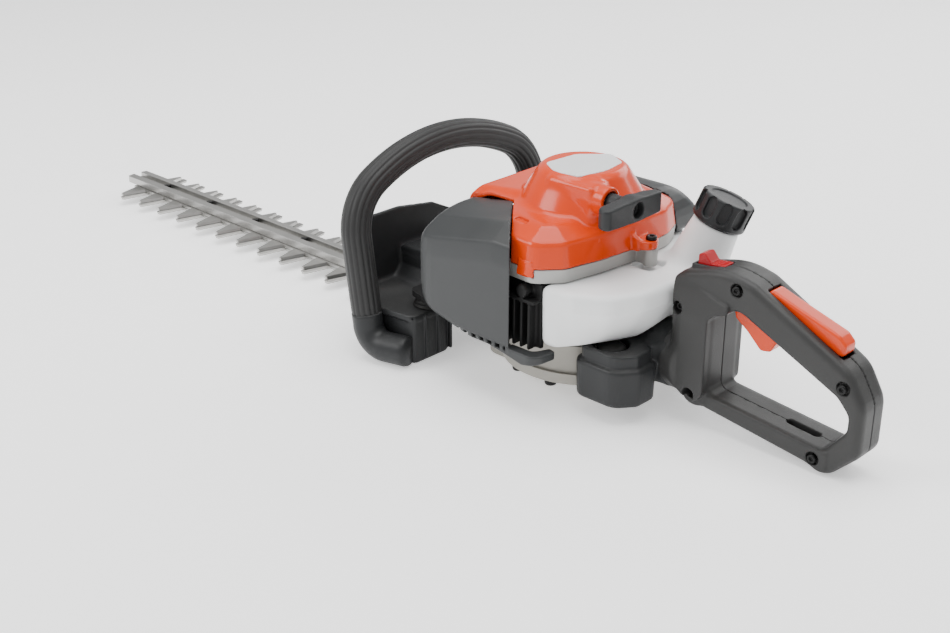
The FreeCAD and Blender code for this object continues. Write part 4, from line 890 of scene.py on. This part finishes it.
# Colour, roughness and the rest of each finish.
FINISHES = {
    "blade_steel": ((0.46, 0.455, 0.44), 0.34, dict(metal=1.0, vary=0.08, streaks=True)),
    "screws": ((0.007, 0.007, 0.007), 0.35, dict(metal=0.3, grain=0.15)),
    "gear_case_alloy": ((0.34, 0.325, 0.29), 0.42, dict(metal=0.15, grain=0.5, scale=500.0)),
    "machined_steel": ((0.42, 0.41, 0.40), 0.28, dict(metal=1.0, vary=0.08, streaks=True)),
    "cast_alloy": ((0.30, 0.30, 0.30), 0.5, dict(metal=0.8, grain=0.8, scale=350.0)),
    "coil_black": ((0.008, 0.008, 0.008), 0.5, dict()),
    "muffler_steel": ((0.2, 0.18, 0.16), 0.45, dict(metal=0.9, vary=0.3)),
    "black_rubber": ((0.006, 0.006, 0.006), 0.55, dict(grain=0.35)),
    "grey_cover": ((0.036, 0.038, 0.039), 0.36, dict(grain=0.14, scale=1400.0, vary=0.05)),
    "grey_plastic": ((0.030, 0.030, 0.0295), 0.42, dict(grain=0.35, scale=1300.0, vary=0.05)),
    "dark_plastic": ((0.017, 0.018, 0.019), 0.42, dict(grain=0.35, scale=1300.0, vary=0.06)),
    # near-black painted shade, used for the gap beside the tank and for the castings in the open side
    "painted_shade_black": ((0.003, 0.003, 0.003), 0.6, dict(grain=0.3, vary=0.1, dust=0.0)),
    "grip_rubber": ((0.022, 0.022, 0.022), 0.5, dict(grain=0.3, scale=1500.0, vary=0.05)),
    "orange_plastic": ((0.66, 0.042, 0.0), 0.22, dict(grain=0.03, vary=0.03, dust=0.0, coat=0.15)),
    "red_plastic": ((0.38, 0.003, 0.008), 0.28, dict(grain=0.1, vary=0.05)),
    "white_plastic": ((0.84, 0.85, 0.85), 0.36, dict(grain=0.12, vary=0.02, dust=0.03, soft=0.1)),
    "label_white": ((0.76, 0.77, 0.78), 0.25, dict(grain=0.03, vary=0.02, dust=0.0, coat=0.4)),
    "band_alloy": ((0.37, 0.37, 0.355), 0.36, dict(metal=0.3, grain=0.25, scale=900.0, vary=0.04)),
    "clear_bulb": ((0.65, 0.68, 0.65), 0.15, dict(grain=0.05, see_through=0.6)),
    "filter_foam": ((0.30, 0.28, 0.20), 0.85, dict(grain=1.0, scale=600.0, vary=0.2)),
    "rope": ((0.45, 0.43, 0.40), 0.8, dict(grain=0.8, scale=700.0, vary=0.2)),
}
MATERIALS = {name: material(name, colour, rough, **rest) for name, (colour, rough, rest) in FINISHES.items()}
CASTINGS_IN_PAINTED_SHADE = ("crankcase_lower", "crankcase_upper", "muffler")    # painted shade: near-black in place of their own finish, because the machine's open side lies in shade
NODE_SLOTS = {part["node"]: part["material_slot"] for part in frame["record"]["subparts"]}


def dress_cad_nodes():
    for node, obj in frame["nodes"].items():
        obj.data.materials.clear()
        # castings in the open side get the painted-shade black instead of their own slot's finish
        name = "painted_shade_black" if node in CASTINGS_IN_PAINTED_SHADE else NODE_SLOTS[node]
        obj.data.materials.append(MATERIALS[name])


# ---- screws, by Geometry Nodes ----
def screw_head(radius, height, recess):
    """Cap screw with a socket, its head up +Z from the origin, in metres."""
    profile = [(0.0, -0.2 * height), (radius * 0.98, -0.2 * height), (radius, height * 0.75),
               (radius * 0.9, height), (recess * 1.1, height), (recess, height * 0.9),
               (recess * 0.95, height * 0.35), (0.0, height * 0.35)]
    segments = 30
    points = np.array(turned_points(profile, segments)) / 1000
    mesh = bpy.data.meshes.new("screw_head")
    mesh.from_pydata(points.tolist(), [], ring_faces(len(profile), segments))
    mesh.update()
    return bpy.data.objects.new("screw_head_source", mesh)


def set_screws(name, places, aim, radius, height, recess, replaces=()):
    """Copies of one screw on each place, made by a node tree and turned into a plain mesh."""
    seeds = bpy.data.meshes.new(name + "_places")
    seeds.from_pydata([((x + CRANK_X) / 1000, y / 1000, z / 1000) for x, y, z in places], [], [])
    holder = bpy.data.objects.new(name, seeds)
    bpy.context.scene.collection.objects.link(holder)
    source = screw_head(radius, height, recess)
    bpy.context.scene.collection.objects.link(source)
    tree = bpy.data.node_groups.new(name + "_tree", "GeometryNodeTree")
    tree.interface.new_socket("Geometry", in_out="INPUT", socket_type="NodeSocketGeometry")
    tree.interface.new_socket("Screw", in_out="INPUT", socket_type="NodeSocketObject")
    tree.interface.new_socket("Turn", in_out="INPUT", socket_type="NodeSocketRotation")
    tree.interface.new_socket("Geometry", in_out="OUTPUT", socket_type="NodeSocketGeometry")
    add = tree.nodes.new
    start, end = add("NodeGroupInput"), add("NodeGroupOutput")
    info, copies = add("GeometryNodeObjectInfo"), add("GeometryNodeInstanceOnPoints")
    realize, paint = add("GeometryNodeRealizeInstances"), add("GeometryNodeSetMaterial")
    paint.inputs["Material"].default_value = MATERIALS["screws"]
    tree.links.new(start.outputs["Geometry"], copies.inputs["Points"])
    tree.links.new(start.outputs["Screw"], info.inputs["Object"])
    tree.links.new(start.outputs["Turn"], copies.inputs["Rotation"])
    tree.links.new(info.outputs["Geometry"], copies.inputs["Instance"])
    tree.links.new(copies.outputs["Instances"], realize.inputs["Geometry"])
    tree.links.new(realize.outputs["Geometry"], paint.inputs["Geometry"])
    tree.links.new(paint.outputs["Geometry"], end.inputs["Geometry"])
    modifier = holder.modifiers.new("screws", "NODES")
    modifier.node_group = tree
    ids = {item.name: item.identifier for item in tree.interface.items_tree if item.in_out == "INPUT"}
    modifier[ids["Screw"]] = source
    modifier[ids["Turn"]] = Vector((0, 0, 1)).rotation_difference(Vector(aim)).to_euler()
    bpy.context.view_layer.update()
    made = bpy.data.meshes.new_from_object(holder.evaluated_get(bpy.context.evaluated_depsgraph_get()))
    holder.modifiers.clear()
    holder.data = made
    bpy.data.objects.remove(source)
    made.shade_smooth()
    return dress(holder, "screws", "machine", replaces)


# ---- building ----
LABEL = rounded([(-27, -22, 5), (-8, -34, 24), (15, -30, 4), (21, -4, 30), (17, 22, 5), (-3, 33, 6),
                 (-24, 12, 12)])
ROPE_FROM, ROPE_TO = 14, 68
ROPE_POINTS = 60


def name_plate(p):
    """Blank label on the flat top of the dome."""
    return both(0.3, inside_of(LABEL, p[:, 0], p[:, 1]), between(p[:, 2], DOME_TOP - 1, DOME_TOP + 0.7))


def build_covers():
    shell("starter_cover_shell", starter_cover, (-96, -102, 116), (74, 84, 184), "orange_plastic",
          replaces=["starter_cover"], step=FINE)
    shell("fan_band", fan_band, (-92, -98, 110), (70, 84, 128), "band_alloy", replaces=["fan_housing"],
          step=FINE)
    shell("engine_shroud_shell", engine_shroud, (-106, -107, 42), (44, -42, 162), "grey_cover",
          replaces=["engine_shroud"], step=FINE)
    # the ribbed wall in the gap beside the tank, coloured near-black as painted shade
    shell("recess_panel", recess_panel, (-16, -98, 54), (30, -80, 114), "painted_shade_black")
    shell("filter_cover_shell", filter_cover, (-88, 56, 60), (42, 107, 154), "grey_cover",
          replaces=["air_filter_cover"])
    shell("fuel_tank_body", fuel_tank, (24, -92, 58), (122, 92, 160), "white_plastic", replaces=["fuel_tank"])
    shell("fuel_cap_body", fuel_cap, (66, 20, 125), (126, 82, 172), "dark_plastic", "cap", ["fuel_cap"],
          FINE * 0.7)


def build_handles():
    shell("rear_handle_left_half", handle_left, (98, -28, 0), (276, 1, 144), "grey_plastic",
          replaces=["rear_handle_left"], step=FINE)
    shell("rear_handle_right_half", handle_right, (98, -1, 0), (276, 28, 144), "grey_plastic",
          replaces=["rear_handle_right"], step=FINE)
    shell("lockout_lever_body", lockout_lever, (178, -10, 90), (252, 10, 134), "orange_plastic", "lockout",
          ["lockout_lever"], FINE * 0.7)
    shell("trigger_body", drilled(plate(TRIGGER, 6.6, 2.2), 160, 113.5, 2.05), (150, -8, 74), (200, 8, 121),
          "orange_plastic", "trigger", ["throttle_trigger"], FINE * 0.7)
    shell("stop_switch_body", stop_switch, (114, -8, 123), (143, 8, 143), "red_plastic", "switch",
          ["stop_switch"], FINE * 0.5)
    shell("starter_grip_body", starter_grip, (42, -68, 156), (76, 6, 182), "dark_plastic", "pull_grip",
          ["starter_grip"], FINE * 0.7)
    shell("chassis_body", chassis, (38, -72, 14), (106, 72, 76), "dark_plastic", replaces=["chassis_frame"])
    shell("guard_body", guard, (-206, -106, 0), (-96, 106, 109), "dark_plastic", replaces=["hand_guard"])
    dress(front_grip(), "grip_rubber", replaces=["front_grip"])
    for side in (-1, 1):
        dress(elbow(side), "dark_plastic", replaces=["front_handle"])
    shell("blank_name_plate", name_plate, (-30, -37, 181), (26, 36, 185), "label_white",
          replaces=["dome_plate"], step=0.8)


def build_dampers():
    for number, side in enumerate((-1, 1)):
        front = turned_part(f"front_damper_{number}", bellows_profile(45.0, 54.0, 14.0, 3), (-118, side * 68))
        dress(front, "black_rubber", replaces=["front_dampers"])
        rear = turned_part(f"rear_damper_{number}", bellows_profile(50.0, 59.6, 13.6, 2),
                           (DAMPER_X, -side * DAMPER_Y))
        dress(rear, "black_rubber", replaces=["rear_dampers"])


def build_rope():
    """Visible rope: a straight tube on the rope's line from inside the cover out to the grip."""
    path = [(x, ROPE_Y, ROPE_Z) for x in np.linspace(ROPE_FROM, ROPE_TO, ROPE_POINTS)]
    rope = mesh_object("starter_rope_run", *sweep(path, np.full(ROPE_POINTS, 1.75), 16))
    rope.data.materials.append(MATERIALS["rope"])
    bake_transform(rope)
    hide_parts("starter_rope")


def build_screws():
    in_handle = [(x, SCREW_FLOOR - 3, z) for x, z in HANDLE_SCREWS]
    set_screws("handle_screws_set", in_handle, (0, -1, 0), 3.6, 2.6, 1.7, ["case_screws"])
    angles = [math.radians(a) for a in (28, 75, 110, 250, 285, 332)]
    under_case = [(62 * math.cos(a), 62 * math.sin(a), 17) for a in angles]
    set_screws("gear_case_screws_set", under_case, (0, 0, -1), 5.2, 5.2, 2.4, ["case_screws"])
    set_screws("starter_screw", [(EAR_X, EAR_Y, BAND_HIGH + 9)], (0, 0, 1), 4.6, 3.0, 1.8, ["case_screws"])


# ---- stage, in metres ----
CAMERA_PLACE = (0.6973 + CRANK_X / 1000, -0.8571, 0.5435)
CAMERA_TURN = (math.radians(90 - 24.24), 0, math.radians(43.92))
LENS = 53.9
FLOOR_GLOW = 0.55                       # keeps the backdrop near white without lighting the object harder
SKY = 0.7
LIGHTS = [("overhead", (0.1, 0.1, 1.9), (0.1, 0, 0), (2.2, 1.6), 46),
          ("key", (-0.9, -1.5, 1.3), (0.1, 0, 0.1), (1.0, 1.0), 24),
          ("rim", (0.2, 1.8, 1.0), (0.1, 0, 0.1), (1.8, 0.8), 18)]


def area_light(name, place, aim, size, power):
    data = bpy.data.lights.new(name, "AREA")
    data.shape = "RECTANGLE"
    data.size, data.size_y = size
    data.energy = power
    light = bpy.data.objects.new(name, data)
    light.location = place
    light.rotation_euler = (Vector(aim) - Vector(place)).to_track_quat("-Z", "Y").to_euler()
    bpy.context.scene.collection.objects.link(light)


def build_camera():
    data = bpy.data.cameras.new("camera")
    data.lens = LENS
    data.sensor_width = 36.0
    camera = bpy.data.objects.new("camera", data)
    camera.location = CAMERA_PLACE
    camera.rotation_euler = CAMERA_TURN
    bpy.context.scene.collection.objects.link(camera)
    bpy.context.scene.camera = camera


def build_floor():
    mesh = bpy.data.meshes.new("floor")
    mesh.from_pydata([(-6, -6, 0), (6, -6, 0), (6, 6, 0), (-6, 6, 0)], [], [(0, 1, 2, 3)])
    floor = bpy.data.objects.new("floor", mesh)
    paper = material("floor", (0.93, 0.93, 0.93), 0.6, grain=0.0, vary=0.01, dust=0.0)
    shader = paper.node_tree.nodes["Principled BSDF"]
    shader.inputs["Emission Color"].default_value = (1.0, 1.0, 1.0, 1.0)
    shader.inputs["Emission Strength"].default_value = FLOOR_GLOW
    floor.data.materials.append(paper)
    bpy.context.scene.collection.objects.link(floor)


def build_stage():
    build_camera()
    build_floor()
    world = bpy.data.worlds.new("studio")
    bpy.context.scene.world = world
    world.use_nodes = True
    background = world.node_tree.nodes["Background"]
    background.inputs["Color"].default_value = (1.0, 1.0, 1.0, 1.0)
    background.inputs["Strength"].default_value = SKY
    for light in LIGHTS:
        area_light(*light)


dress_cad_nodes()
build_covers()
build_handles()
build_dampers()
build_rope()
build_screws()
build_stage()
